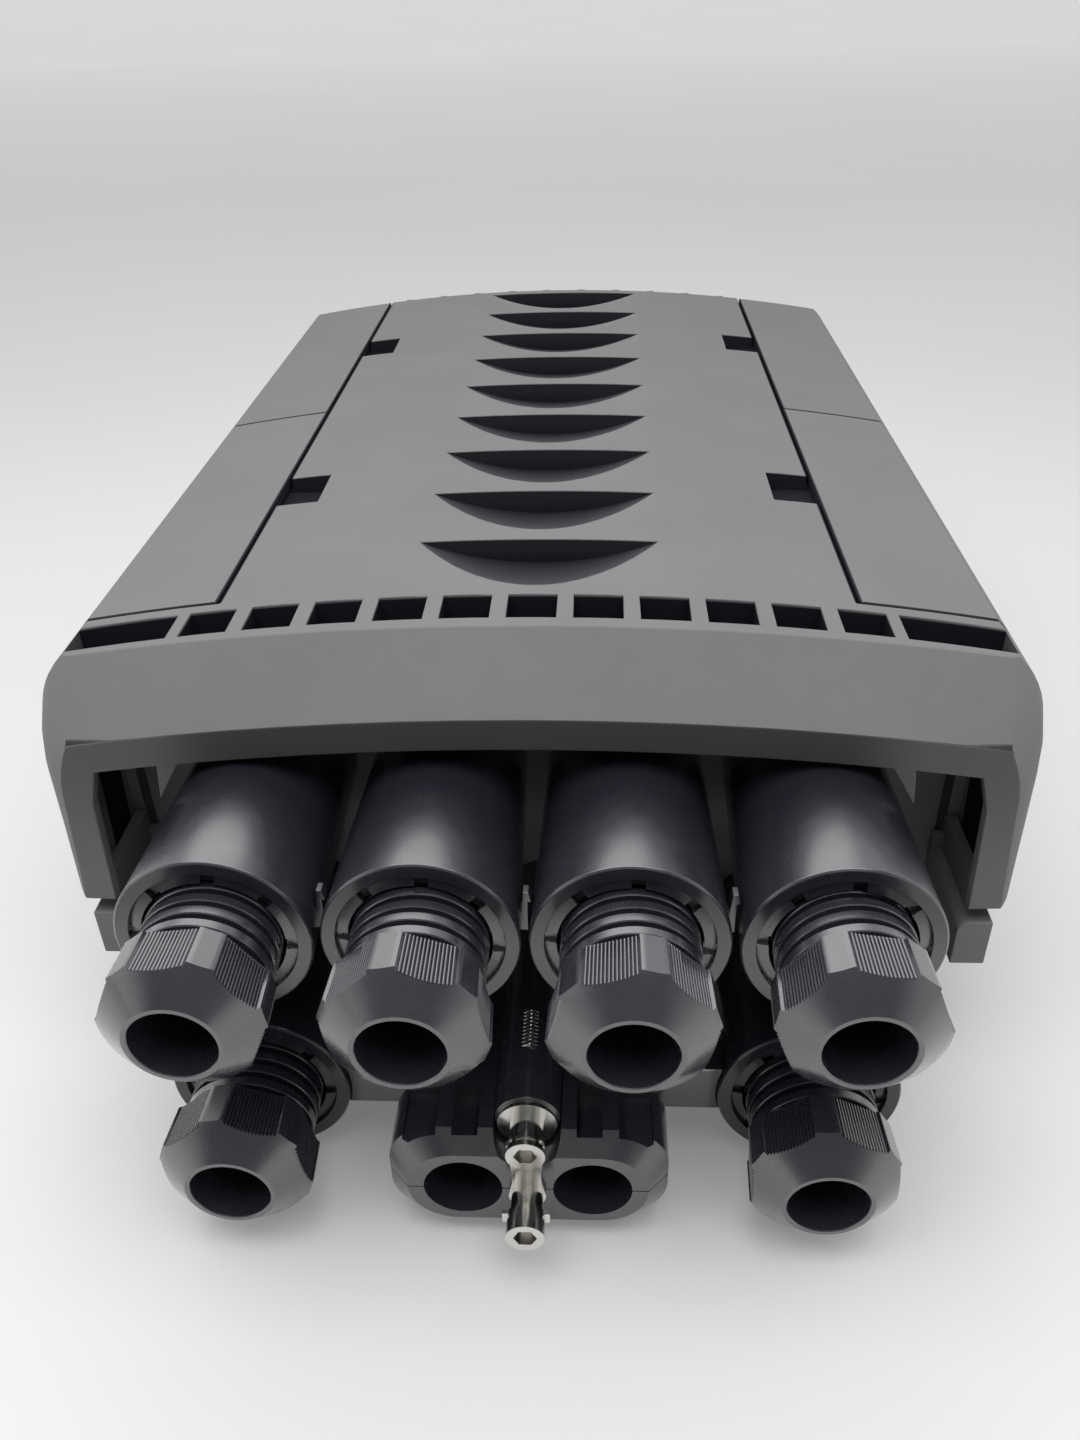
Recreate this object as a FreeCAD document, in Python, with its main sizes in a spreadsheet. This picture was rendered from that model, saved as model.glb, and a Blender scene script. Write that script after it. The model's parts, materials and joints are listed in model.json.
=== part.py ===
import FreeCAD, Part
import math
import os

import Sketcher
from FreeCAD import Placement, Rotation, Vector

# Fibre splice closure, lying on its base: +X right, +Y from the cable end to the rear, +Z up, millimetres.

doc = FreeCAD.newDocument("splice_closure")
sheet = doc.addObject("Spreadsheet::Sheet", "dims")

DIMENSIONS = {
    # hood section
    "crown_height": 139.5,
    "arch_radius": 740,
    "edge_half": 123.5,
    "side_half": 133,
    "shoulder_height": 108,
    "cover_bottom": 59.2,
    # hood length
    "hood_front": -146,
    "hood_rear": 215,
    "rib_rear": 220,
    "bow_radius": 3700,
    "bevel_run": 16,
    "bevel_drop": 18,
    "bevel_lean": 0.185,
    "corner_start": -127,
    "corner_depth": 17.2,
    "corner_round_top": 21.8,
    "corner_round_low": 28.6,
    "corner_edge": 3.5,
    "corner_sink": 16,
    "rear_corner": 6,
    # clasps and the recess they lie in
    "clasp_thickness": 4,
    "clasp_gap": 0.4,
    "seam_half": 85.6,
    "seam_gap": 1,
    "edge_inset": 2.9,
    "clasp_front": -108,
    "clasp_split": 49.3,
    "clasp_rear": 214.5,
    "clasp_corner": 1.5,
    "clasp_foot": 54,
    "hinge_x": 130,
    "hinge_height": 48.4,
    "hinge_radius": 3,
    "hinge_pin_radius": 1.5,
    "hinge_pin_play": 0.1,
    "lug_width": 6,
    "lug_inset": 6,
    # pry pockets beside the seams
    "pry_inner": 72,
    "pry_floor": 129.5,
    "pry_front": -41.7,
    "pry_length": 23,
    "pry_pitch": 164,
    # louvres
    "louvre_radius": 95,
    "louvre_depth": 7.5,
    "louvre_rise": 9,
    "louvre_pitch": 36,
    "louvre_first": -78.2,
    "louvre_count": 9,
    # windows behind the bumper
    "window_pitch": 17.2,
    "window_width": 12.9,
    "window_front": -125.2,
    "window_rear": -112.5,
    "end_window_inner": 95.8,
    "end_window_outer": 124.5,
    # hood inside
    "wall": 3.5,
    "front_wall": -109,
    "front_wall_thickness": 4,
    "rear_wall": 211,
    "roof_drop": 11.5,
    "rim_half": 119,
    "rim_top": 67.4,
    "cavity_half": 124.3,
    "channel_inner": 42,
    "channel_outer": 69,
    "channel_roof": 4,
    "visor_drop": 20,
    "visor_half": 124.5,
    "visor_shoulder": 116,
    "frame_depth": 5.5,
    "frame_drop": 26.9,
    "frame_half": 118.8,
    "frame_shoulder": 114.6,
    "frame_knee": 1.5,
    "knee_height": 93,
    "cusp_outer": 97.3,
    "cusp_tip": 98.3,
    "cusp_inner": 91.5,
    "cusp_height": 95.3,
    # base tub
    "tub_half": 118,
    "tub_rear": 211,
    "tub_wall": 4,
    "tub_corner": 8,
    "flange_half": 126.5,
    "foot_half": 126.1,
    "foot_inner": 116.7,
    "foot_round": 3,
    "foot_front": -144.5,
    "stop_half": 131,
    "stop_thickness": 3,
    "lip_inner": 120,
    "lip_outer": 123.5,
    "lip_front": -138,
    "lip_rise": 5,
    "flange_bottom": 39.2,
    "flange_top": 54.4,
    "bulkhead_front": -108.7,
    "bulkhead_thickness": 4.7,
    "bulkhead_drop": 26.5,
    "gasket_thickness": 2.5,
    "gasket_width": 4,
    # ports
    "port_upper_inner": 25,
    "port_upper_outer": 75,
    "port_upper_height": 83.75,
    "port_upper_rim": -185,
    "port_lower": 73.5,
    "port_lower_height": 25,
    "port_lower_rim": -180.1,
    "sleeve_radius": 24.1,
    "sleeve_draft": 2.5,
    "sleeve_bore": 19.6,
    "sleeve_chamfer": 0.5,
    "sleeve_tail": 19,
    "seat_radius": 13,
    "seat_length": 14,
    "collar_radius": 20.4,
    "collar_bore": 17.4,
    "collar_front": 0.4,
    "collar_cone": 0.7,
    "collar_end": 11,
    "collar_notch": 3.2,
    "collar_notch_depth": 1.5,
    "collar_teeth": 8,
    "collar_turn": 5,
    "fin_thickness": 2.6,
    "fin_root": 3,
    "fin_low": 6,
    "fin_rise": 9,
    "fin_front": -177,
    "fin_length": 3,
    # glands
    "nut_front": 32.7,
    "nut_length": 18.4,
    "nut_flat": 17.7,
    "nut_flat_half": 5.6,
    "nut_pad": 19.6,
    "nut_pad_half": 3.5,
    "nut_draft": 0.9,
    "nut_lip": 11.3,
    "nut_cone": 8.1,
    "nut_cone_radius": 21.3,
    "nut_bore": 10,
    "spigot_radius": 16.7,
    "spigot_end": 24,
    "ring_thickness": 3,
    "ring_radius": 18.8,
    "seal_front": 38,
    "seal_radius": 19.2,
    "seal_bore": 10.4,
    # oval double port
    "oval_height": 20.07,
    "oval_front": -206.3,
    "oval_bevel": 5.3,
    "oval_back": -186,
    "oval_face_half": 30.4,
    "oval_face_rise": 12.5,
    "oval_face_corner": 12.2,
    "oval_half": 35.5,
    "oval_rise": 16.7,
    "oval_corner": 13,
    "oval_split": 0.3,
    "oval_hole": 9.96,
    "oval_hole_x": 16.36,
    "oval_sleeve_half": 33,
    "oval_sleeve_rise": 15,
    "oval_wall": 2.8,
    "crenel_inner": 12.3,
    "crenel_rib": 18.8,
    "crenel_rib_width": 4,
    "crenel_outer": 31.5,
    "crenel_cut": 1.5,
    "oval_seal_length": 30,
    "boss_height": 37.3,
    "boss_radius": 8.2,
    "boss_front": -198.7,
    # earthing hardware
    "stud_radius": 4.5,
    "stud_ring": 4.85,
    "stud_shank": 3.2,
    "stud_depth": 24,
    "washer_radius": 7.45,
    "washer_thickness": 1.6,
    "link_thickness": 1.5,
    "link_gap": 0.4,
    "link_waist": 7.2,
    "link_eye": 4.7,
    "link_neck": 4,
    "link_neck_length": 5.2,
    "head_radius": 4.8,
    "head_front": -220,
    "screw_tip": -176,
    "screw_washer_radius": 4.6,
    "screw_washer_reach": 5.9,
    "screw_washer_ear": 1.6,
    "screw_washer_thickness": 1.2,
    "socket_flat": 2.55,
    "socket_depth": 5,
    # inside
    "mount_x": 80,
    "mount_front": -80,
    "mount_rear": 160,
    "mount_hole": 2.6,
    "mount_depth": 11,
    "mount_boss": 7,
    "mount_boss_top": 14,
    "foot_recess": 1.5,
    "tray_half": 80,
    "tray_front": -40,
    "tray_rear": 180,
    "tray_base": 32,
    "tray_pitch": 13,
    "tray_height": 11,
    "tray_wall": 2,
    "tray_count": 4,
    "splice_pitch": 6,
    "splice_half": 20,
    "drum_radius": 26,
    "drum_offset": 62,
    "tray_pin_radius": 1.5,
    "cheek_thickness": 3,
    "plate_thickness": 2.5,
    "anchor_half": 100,
    "anchor_front": -102,
    "anchor_width": 10,
    "anchor_top": 12,
    "anchor_screw": 2,
    "anchor_head": 4,
    "anchor_head_height": 3,
}


class Size:
    """A dimension of the sheet: its number, and the expression that binds a property to it."""

    def __init__(self, value, text):
        self.value = value
        self.text = text

    def __add__(self, other):
        return Size(self.value + number(other), f"({self.text} + {formula(other)})")

    def __sub__(self, other):
        return Size(self.value - number(other), f"({self.text} - {formula(other)})")

    def __rsub__(self, other):
        return Size(number(other) - self.value, f"({formula(other)} - {self.text})")

    def __mul__(self, other):
        return Size(self.value * number(other), f"({self.text} * {formula(other)})")

    def __truediv__(self, other):
        return Size(self.value / number(other), f"({self.text} / {formula(other)})")

    def __neg__(self):
        return Size(-self.value, f"(0 - {self.text})")

    __radd__ = __add__
    __rmul__ = __mul__


def number(item):
    return item.value if isinstance(item, Size) else float(item)


def formula(item):
    return item.text if isinstance(item, Size) else f"({item:.9g})"


def root(item):
    return Size(math.sqrt(item.value), f"sqrt({item.text})")


class Sheet:
    """Every alias of the sheet as an attribute."""


D = Sheet()
for row, (alias, amount) in enumerate(DIMENSIONS.items(), start=1):
    sheet.set(f"A{row}", alias)
    sheet.set(f"B{row}", str(amount))
    sheet.setAlias(f"B{row}", alias)
    setattr(D, alias, Size(float(amount), f"dims.{alias}"))
doc.recompute()


# Sketch and feature helpers


def bind(item, name, size):
    item.setExpression(name, formula(size))


def place(item, x, y, z, turn=0):
    """Put an item at a point, turned about its own Y axis."""
    spot = Vector(number(x), number(y), number(z))
    item.Placement = Placement(spot, Rotation(Vector(0, 1, 0), turn))
    for axis, size in zip("xyz", (x, y, z)):
        bind(item, f"Placement.Base.{axis}", size)


def arc_between(start, end, radius, side):
    """Arc of a signed side: +1 has its centre to the left of the way from start to end, -1 to the right."""
    along = end - start
    half = along.Length / 2
    left = Vector(-along.y, along.x, 0).normalize()
    centre = (start + end) / 2 + left * side * math.sqrt(radius * radius - half * half)
    first, last = (start, end) if side > 0 else (end, start)
    angles = [math.atan2(p.y - centre.y, p.x - centre.x) for p in (first, last)]
    return Part.ArcOfCircle(Part.Circle(centre, Vector(0, 0, 1), radius), *angles)


def pin_point(found, geometry, end, x, y):
    """Hold one sketch point at its two coordinates."""
    for kind, size, axis in (("DistanceX", x, -2), ("DistanceY", y, -1)):
        if number(size) == 0:
            found.append((Sketcher.Constraint("PointOnObject", geometry, end, axis), None))
        else:
            rule = Sketcher.Constraint(kind, -1, 1, geometry, end, number(size))
            found.append((rule, size))


def draw_circle(sketch, found, x, y, radius):
    centre = Vector(number(x), number(y), 0)
    index = sketch.addGeometry(Part.Circle(centre, Vector(0, 0, 1), number(radius)))
    pin_point(found, index, 3, x, y)
    found.append((Sketcher.Constraint("Radius", index, number(radius)), radius))


def draw_loop(sketch, found, loop):
    """Closed outline; a corner is (x, y), or (x, y, radius, side) where an arc leads to it."""
    parts = []
    for here, there in zip(loop, loop[1:] + loop[:1]):
        start = Vector(number(here[0]), number(here[1]), 0)
        end = Vector(number(there[0]), number(there[1]), 0)
        if len(there) == 2:
            parts.append((sketch.addGeometry(Part.LineSegment(start, end)), 1, 2))
            continue
        radius, side = there[2:]
        index = sketch.addGeometry(arc_between(start, end, number(radius), side))
        parts.append((index, 1, 2) if side > 0 else (index, 2, 1))
        found.append((Sketcher.Constraint("Radius", index, number(radius)), radius))
    for corner, part, following in zip(loop, parts, parts[1:] + parts[:1]):
        meet = Sketcher.Constraint("Coincident", part[0], part[2], following[0], following[1])
        found.append((meet, None))
        pin_point(found, part[0], part[1], corner[0], corner[1])


def flipped(loop):
    """The same outline on the other side of the middle plane."""
    if loop[0] == "circle":
        return ("circle", -loop[1], *loop[2:])
    return [(-c[0], c[1]) if len(c) == 2 else (-c[0], c[1], c[2], -c[3]) for c in loop]


def both_sides(*loops):
    return [*loops, *(flipped(loop) for loop in loops)]


def circle(x, y, radius):
    return ("circle", x, y, radius)


def box(left, right, low, high):
    return [(left, low), (right, low), (right, high), (left, high)]


def new_body(label):
    body = doc.addObject("PartDesign::Body", label)
    body.Label = label
    return body


def origin_feature(body, role):
    return next(item for item in body.Origin.OriginFeatures if item.Role == role)


def sketch_on(body, role, name, loops, offset):
    sketch = body.newObject("Sketcher::SketchObject", f"{name}_sketch")
    sketch.AttachmentSupport = [(origin_feature(body, role), "")]
    sketch.MapMode = "FlatFace"
    bind(sketch, "AttachmentOffset.Base.z", offset)
    found = []
    for loop in loops:
        if loop[0] == "circle":
            draw_circle(sketch, found, *loop[1:])
        else:
            draw_loop(sketch, found, loop)
    sketch.addConstraint([rule for rule, _ in found])
    for index, (_, size) in enumerate(found):
        if isinstance(size, Size):
            bind(sketch, f"Constraints[{index}]", size)
    return sketch


def feature(body, kind, name, sketch, length=None, backward=False):
    item = body.newObject(f"PartDesign::{kind}", name)
    item.Profile = sketch
    if length is not None:
        bind(item, "Length", length)
        item.Reversed = backward
    return item


def along_y(body, kind, name, loops, start, end):
    """Pad or pocket of outlines in X and Z, from one Y to another further back."""
    sketch = sketch_on(body, "XZ_Plane", name, loops, -start)
    return feature(body, kind, name, sketch, end - start, kind == "Pad")


def along_z(body, kind, name, loops, start, end):
    """Pad or pocket of outlines in X and Y, from one Z up to another."""
    sketch = sketch_on(body, "XY_Plane", name, loops, start)
    return feature(body, kind, name, sketch, end - start, kind == "Pocket")


def turned(body, kind, name, loop):
    """Revolution or groove about the Y axis of an outline in radius and Y."""
    sketch = sketch_on(body, "XY_Plane", name, [loop], 0)
    item = feature(body, kind, name, sketch)
    item.ReferenceAxis = (sketch, ["V_Axis"])
    item.Angle = 360
    return item


def ring_of(body, name, original, count):
    """Repeat a feature round the Y axis."""
    pattern = body.newObject("PartDesign::PolarPattern", name)
    pattern.Originals = [original]
    pattern.Axis = (origin_feature(body, "Y_Axis"), [""])
    pattern.Angle = 360
    bind(pattern, "Occurrences", count)
    body.Tip = pattern
    return pattern


# Outlines that the hood, the clasps, the gasket and the bulkhead share


def arch(x, drop):
    """Height at x of an arch concentric with the crown and lower by drop."""
    radius = D.arch_radius - drop
    return root(radius * radius - x * x) + D.crown_height - D.arch_radius


def shoulder_radius(half, edge, drop):
    """Radius of the side's shoulder: upright at the side wall, through the top edge."""
    across = half - edge
    up = arch(edge, drop) - D.shoulder_height
    return (across * across + up * up) / (across * 2)


def edge_at(drop):
    """Top edge of the hood's section, moved in with the depth of an inner skin."""
    return D.edge_half - drop * (D.edge_inset / D.clasp_thickness)


def over_shoulder(drop, bottom):
    """From the arch out over the right shoulder and down the side, for a skin lower by drop."""
    half = D.side_half - drop
    edge = edge_at(drop)
    return [
        (edge, arch(edge, drop), D.arch_radius - drop, -1),
        (half, D.shoulder_height, shoulder_radius(half, edge, drop), -1),
        (half, bottom),
    ]


def arch_band(half, drop, bottom):
    """Opening with straight sides under an arch, from the left foot to the right one."""
    top = arch(half, drop)
    return [(-half, bottom), (-half, top), (half, top, D.arch_radius - drop, -1), (half, bottom)]


def visor_opening(half, shoulder, drop, bottom):
    """Opening under the visor, with the two cusps that reach down beside the outer ports."""
    radius = D.arch_radius - drop
    right = [
        (D.cusp_inner, arch(D.cusp_inner, drop), radius, -1),
        (D.cusp_tip, D.cusp_height),
        (D.cusp_outer, arch(D.cusp_outer, drop)),
        (shoulder, arch(shoulder, drop), radius, -1),
        (half - D.frame_knee, D.knee_height),
        (half, bottom),
    ]
    left = [
        (-half, bottom),
        (-half + D.frame_knee, D.knee_height),
        (-shoulder, arch(shoulder, drop)),
        (-D.cusp_outer, arch(D.cusp_outer, drop), radius, -1),
        (-D.cusp_tip, D.cusp_height),
        (-D.cusp_inner, arch(D.cusp_inner, drop)),
    ]
    return left + right


# Hood

below = D.cover_bottom - 6
above = D.crown_height + 6
beyond = D.side_half + 6


def corner_outline(share):
    """Outside of the right front corner at a share of its depth: side and shoulder draw in along arcs."""
    free = 0.1
    depth = D.corner_depth * share
    drawn = [size - root(size * size - depth * depth) for size in (D.corner_round_top, D.corner_round_low)]
    side = D.side_half + free - drawn[0]
    foot = D.side_half + free - drawn[1]
    edge = D.edge_half + free - D.corner_edge * share
    top = arch(edge, D.bevel_drop * share)
    height = D.shoulder_height - D.corner_sink * share
    across = side - edge
    up = top - height
    radius = (across * across + up * up) / (across * 2)
    lean = up / (radius - across)
    return [
        (edge - (above - top) * lean, above),
        (edge, top),
        (side, height, radius, -1),
        (foot, below),
        (beyond, below),
        (beyond, above),
    ]


def cut_corners(body):
    """Round both front corners of the hood from the roof's edge down to the feet."""
    sections = []
    for index, share in enumerate((0, 0.3, 0.55, 0.75, 0.9, 1, 1.16)):
        start = D.corner_start - D.corner_depth * share
        outline = corner_outline(share)
        sections.append(sketch_on(body, "XZ_Plane", f"corner_{index}", [outline], -start))
    cut = feature(body, "SubtractiveLoft", "front_corner", sections[0])
    cut.Sections = sections[1:]
    cut.Ruled = True
    pair = body.newObject("PartDesign::Mirrored", "front_corners")
    pair.Originals = [cut]
    pair.MirrorPlane = (origin_feature(body, "YZ_Plane"), [""])
    body.Tip = pair


def cut_bevel(body):
    """Bumper bevel, turned about a leaning axis so that it follows the crown and the bowed front."""
    past = 0.2
    bevel = [
        (D.hood_front + D.bevel_run * (1 + past), D.crown_height + D.bevel_drop * past),
        (D.hood_front - D.bevel_run * past, D.crown_height + D.bevel_drop * past),
        (D.hood_front - D.bevel_run * past, D.crown_height - D.bevel_drop * (1 + past)),
    ]
    sketch = sketch_on(body, "YZ_Plane", "bevel", [bevel], 0)
    swing = D.arch_radius / (D.bevel_lean * D.bevel_lean + 1)
    ends = []
    for along in (-100, 100):
        y = D.hood_front + D.bevel_run + swing * D.bevel_lean + along
        ends.append((y, D.crown_height - swing + D.bevel_lean * along))
    line = Part.LineSegment(*(Vector(y.value, z.value, 0) for y, z in ends))
    axis = sketch.addGeometry(line, True)
    found = []
    for end, (y, z) in enumerate(ends, start=1):
        pin_point(found, axis, end, y, z)
    for rule, size in found:
        bind(sketch, f"Constraints[{sketch.addConstraint(rule)}]", size)
    groove = feature(body, "Groove", "bevel", sketch)
    groove.ReferenceAxis = (sketch, ["Axis0"])
    groove.Angle = 24
    groove.Midplane = True


def make_cover():
    body = new_body("cover_shell")
    section = over_shoulder(0, D.cover_bottom)
    edge = section[0][:2]
    shoulder = section[1][2]
    left = [(-D.side_half, D.cover_bottom), (-D.side_half, D.shoulder_height)]
    left.append((-edge[0], edge[1], shoulder, -1))
    ahead = D.hood_front - 1
    along_y(body, "Pad", "hood", [left + section], ahead, D.hood_rear)

    # front face bowed in plan, and round rear corners
    bow_end = D.hood_front + D.bow_radius - root(D.bow_radius * D.bow_radius - beyond * beyond)
    bow = [
        (beyond, bow_end),
        (-beyond, bow_end, D.bow_radius, -1),
        (-beyond, ahead - 1),
        (beyond, ahead - 1),
    ]
    rear_corner = [
        (D.side_half - D.rear_corner, D.hood_rear),
        (D.side_half - D.rear_corner, D.hood_rear + 1),
        (beyond, D.hood_rear + 1),
        (beyond, D.hood_rear - D.rear_corner),
        (D.side_half, D.hood_rear - D.rear_corner),
    ]
    rear_corner[0] = (*rear_corner[0], D.rear_corner, 1)
    along_z(body, "Pocket", "plan", [bow, *both_sides(rear_corner)], below, above)
    cut_corners(body)
    cut_bevel(body)

    # recess for the clasps on both sides
    skin = D.clasp_thickness + D.clasp_gap
    recess = [
        (D.seam_half, arch(D.seam_half, skin)),
        *over_shoulder(skin, below),
        (beyond, below),
        (beyond, above),
        (D.seam_half, above),
    ]
    recess_front = D.clasp_front - D.clasp_gap
    along_y(body, "Pocket", "clasp_recess", both_sides(recess), recess_front, D.rib_rear)

    # sealed room inside, with a rim for the gasket
    inside = D.front_wall + D.front_wall_thickness
    brow = D.cavity_half - D.roof_drop
    room_right = [
        (brow, arch(brow, D.roof_drop), D.arch_radius - D.roof_drop, -1),
        (D.cavity_half, D.shoulder_height - D.wall),
        (D.cavity_half, D.rim_top + D.wall),
        (D.rim_half, D.rim_top),
        (D.rim_half, below),
    ]
    room_left = [(-x, z) for x, z, *_ in reversed(room_right)]
    along_y(body, "Pocket", "room", [room_left + room_right], inside, D.rear_wall)
    channel = [
        (D.channel_inner, arch(D.channel_outer, D.roof_drop) - 4),
        (D.channel_inner, arch(D.channel_inner, D.channel_roof)),
        (D.channel_outer, arch(D.channel_outer, D.channel_roof), D.arch_radius - D.channel_roof, -1),
        (D.channel_outer, arch(D.channel_outer, D.roof_drop) - 4),
    ]
    along_y(body, "Pocket", "channels", both_sides(channel), inside, D.rear_wall)

    # hollow under the visor, the frame's opening and the seat on the bulkhead
    frame_back = D.hood_front + D.frame_depth
    under = visor_opening(D.visor_half, D.visor_shoulder, D.visor_drop, below)
    along_y(body, "Pocket", "visor_hollow", [under], frame_back, D.front_wall)
    mouth = visor_opening(D.frame_half, D.frame_shoulder, D.frame_drop, below)
    along_y(body, "Pocket", "frame_mouth", [mouth], ahead, frame_back + 0.1)
    seat = arch_band(
        D.tub_half + D.gasket_thickness, D.bulkhead_drop - D.gasket_thickness, below
    )
    along_y(body, "Pocket", "bulkhead_seat", [seat], D.front_wall - 0.1, inside + 0.1)

    # windows through the visor's roof
    windows = []
    for step in range(-5, 6):
        middle = D.window_pitch * step
        half = D.window_width / 2
        windows.append(box(middle - half, middle + half, D.window_front, D.window_rear))
    end_window = box(D.end_window_inner, D.end_window_outer, D.window_front, D.window_rear)
    windows += both_sides(end_window)
    along_z(body, "Pocket", "windows", windows, D.shoulder_height - 8, above)

    # pry pockets beside the clasps' seams
    pry = []
    for step in range(2):
        start = D.pry_front + D.pry_pitch * step
        pry += both_sides(box(D.pry_inner, D.seam_half + 2, start, start + D.pry_length))
    along_z(body, "Pocket", "pry_pockets", pry, D.pry_floor, above)

    # rear ribs, flush with the roof
    ribs = []
    for step in range(6):
        middle = D.window_pitch * (step + 0.5)
        under_clasp = middle.value > D.seam_half.value
        top = arch(middle, D.wall / 4 + (skin if under_clasp else 0))
        ribs += both_sides(box(middle - D.wall / 2, middle + D.wall / 2, D.rim_top, top))
    along_y(body, "Pad", "rear_ribs", ribs, D.rear_wall + D.wall, D.rib_rear)

    # louvres: a slanting round cut that leaves an upright back wall and runs out to the front
    louvre = []
    for name, step in (("louvre_back", 0), ("louvre_front", 1)):
        rise = D.louvre_radius + D.crown_height - D.louvre_depth + D.louvre_rise * step
        start = D.louvre_first - D.louvre_pitch * step
        loops = [circle(0, rise, D.louvre_radius)]
        louvre.append(sketch_on(body, "XZ_Plane", name, loops, -start))
    cut = feature(body, "SubtractiveLoft", "louvre", louvre[0])
    cut.Sections = [louvre[1]]
    row = body.newObject("PartDesign::LinearPattern", "louvres")
    row.Originals = [cut]
    row.Direction = (origin_feature(body, "Y_Axis"), [""])
    bind(row, "Length", D.louvre_pitch * (D.louvre_count - 1))
    bind(row, "Occurrences", D.louvre_count)
    body.Tip = row
    return body


def make_gasket():
    body = new_body("cover_gasket")
    inner = arch_band(D.tub_half, D.bulkhead_drop, D.flange_top)
    outer_half = D.tub_half + D.gasket_thickness
    outer = arch_band(outer_half, D.bulkhead_drop - D.gasket_thickness, D.flange_top)
    back = [inner[3], inner[2][:2], (*inner[1], D.arch_radius - D.bulkhead_drop, 1), inner[0]]
    end = D.front_wall + D.front_wall_thickness
    along_y(body, "Pad", "arch_lip", [outer + back], D.front_wall, end)
    near = D.rim_half + 0.5
    far = near + D.gasket_width
    rear = D.rear_wall - 1
    strip = [
        (-far, D.front_wall),
        (-far, rear),
        (far, rear),
        (far, D.front_wall),
        (near, D.front_wall),
        (near, rear - D.gasket_width),
        (-near, rear - D.gasket_width),
        (-near, D.front_wall),
    ]
    along_z(body, "Pad", "rim_strip", [strip], D.flange_top, D.cover_bottom)
    return body


# Clasps and their hinges


def clasp_spans():
    """Y range of the front and the rear clasp."""
    half_gap = D.seam_gap / 2
    return {
        "front": (D.clasp_front, D.clasp_split - half_gap),
        "rear": (D.clasp_split + half_gap, D.clasp_rear),
    }


def lug_spans():
    """Y ranges of the hinge lugs, two for each clasp."""
    spans = []
    for start, end in clasp_spans().values():
        spans.append((start + D.lug_inset, start + D.lug_inset + D.lug_width))
        spans.append((end - D.lug_inset - D.lug_width, end - D.lug_inset))
    return spans


def make_clasp(label, start, end):
    body = new_body(label)
    inner = D.seam_half + D.seam_gap
    drop = D.clasp_thickness
    inside = over_shoulder(drop, D.clasp_foot)
    skin = [
        (inner, arch(inner, 0)),
        *over_shoulder(0, D.clasp_foot),
        inside[2],
        inside[1][:2],
        (*inside[0][:2], inside[1][2], 1),
        (inner, arch(inner, drop), D.arch_radius - drop, 1),
    ]
    along_y(body, "Pad", "skin", [skin], start, end)
    wall_in = D.side_half - drop
    offset = wall_in - D.hinge_x
    meet = D.hinge_height + root(D.hinge_radius * D.hinge_radius - offset * offset)
    knuckle = [
        (D.side_half, D.clasp_foot + 1),
        (D.side_half, D.hinge_height),
        (D.hinge_x, D.hinge_height - D.hinge_radius, D.hinge_radius, -1),
        (D.hinge_x - D.hinge_radius, D.hinge_height, D.hinge_radius, -1),
        (wall_in, meet, D.hinge_radius, -1),
        (wall_in, D.clasp_foot + 1),
    ]
    clear = D.lug_inset + D.lug_width + D.clasp_gap
    along_y(body, "Pad", "knuckle", [knuckle], start + clear, end - clear)
    bore = circle(D.hinge_x, D.hinge_height, D.hinge_pin_radius + D.hinge_pin_play)
    along_y(body, "Pocket", "pin_bore", [bore], start, end)
    nose = [
        (inner, start + D.clasp_corner),
        (inner - 1, start + D.clasp_corner),
        (inner - 1, start - 1),
        (inner + D.clasp_corner, start - 1),
        (inner + D.clasp_corner, start),
    ]
    along_z(body, "Pocket", "nose", [nose], below, above)
    return body


def make_clasps():
    for place_name, (start, end) in clasp_spans().items():
        right = make_clasp(f"clasp_{place_name}_right", start, end)
        left = doc.addObject("Part::Mirroring", f"clasp_{place_name}_left")
        left.Label = f"clasp_{place_name}_left"
        left.Source = right
        left.Normal = Vector(1, 0, 0)


def group(label, items):
    """Like pieces that share one node."""
    bundle = doc.addObject("Part::Compound", label)
    bundle.Label = label
    bundle.Links = items
    return bundle


def make_hinge_pins():
    spans = lug_spans()
    pins = []
    for front, rear in ((spans[0], spans[1]), (spans[2], spans[3])):
        for side in (-1, 1):
            pin = doc.addObject("Part::Cylinder", "hinge_pin")
            bind(pin, "Radius", D.hinge_pin_radius)
            bind(pin, "Height", rear[1] - front[0])
            spot = Vector(side * D.hinge_x.value, front[0].value, D.hinge_height.value)
            pin.Placement = Placement(spot, Rotation(Vector(1, 0, 0), -90))
            bind(pin, "Placement.Base.x", D.hinge_x * side)
            bind(pin, "Placement.Base.y", front[0])
            bind(pin, "Placement.Base.z", D.hinge_height)
            pins.append(pin)
    group("clasp_hinge_pins", pins)


# Base tub with the port bulkhead


def ports():
    """Axis and rim of the six round ports, upper row left to right, then the lower pair."""
    upper = [-D.port_upper_outer, -D.port_upper_inner, D.port_upper_inner, D.port_upper_outer]
    row = [(x, D.port_upper_height, D.port_upper_rim) for x in upper]
    for x in (-D.port_lower, D.port_lower):
        row.append((x, D.port_lower_height, D.port_lower_rim))
    return row


def oblong(half, rise, corner):
    """Rounded oblong about the oval port's axis."""
    low = D.oval_height - rise
    high = D.oval_height + rise
    return [
        (-half + corner, low, corner, 1),
        (half - corner, low),
        (half, low + corner, corner, 1),
        (half, high - corner),
        (half - corner, high, corner, 1),
        (-half + corner, high),
        (-half, high - corner, corner, 1),
        (-half, low + corner),
    ]


def oval_bore(play):
    """Inside of the oval sleeve, smaller all round by play."""
    wall = D.oval_wall + play
    return oblong(D.oval_sleeve_half - wall, D.oval_sleeve_rise - wall, D.oval_corner - wall)


def tub_section(half, floor, corner, top):
    draft = 1
    return [
        (-half, top),
        (-half + draft, floor + corner),
        (-half + draft + corner, floor, corner, 1),
        (half - draft - corner, floor),
        (half - draft, floor + corner, corner, 1),
        (half, top),
    ]


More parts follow.
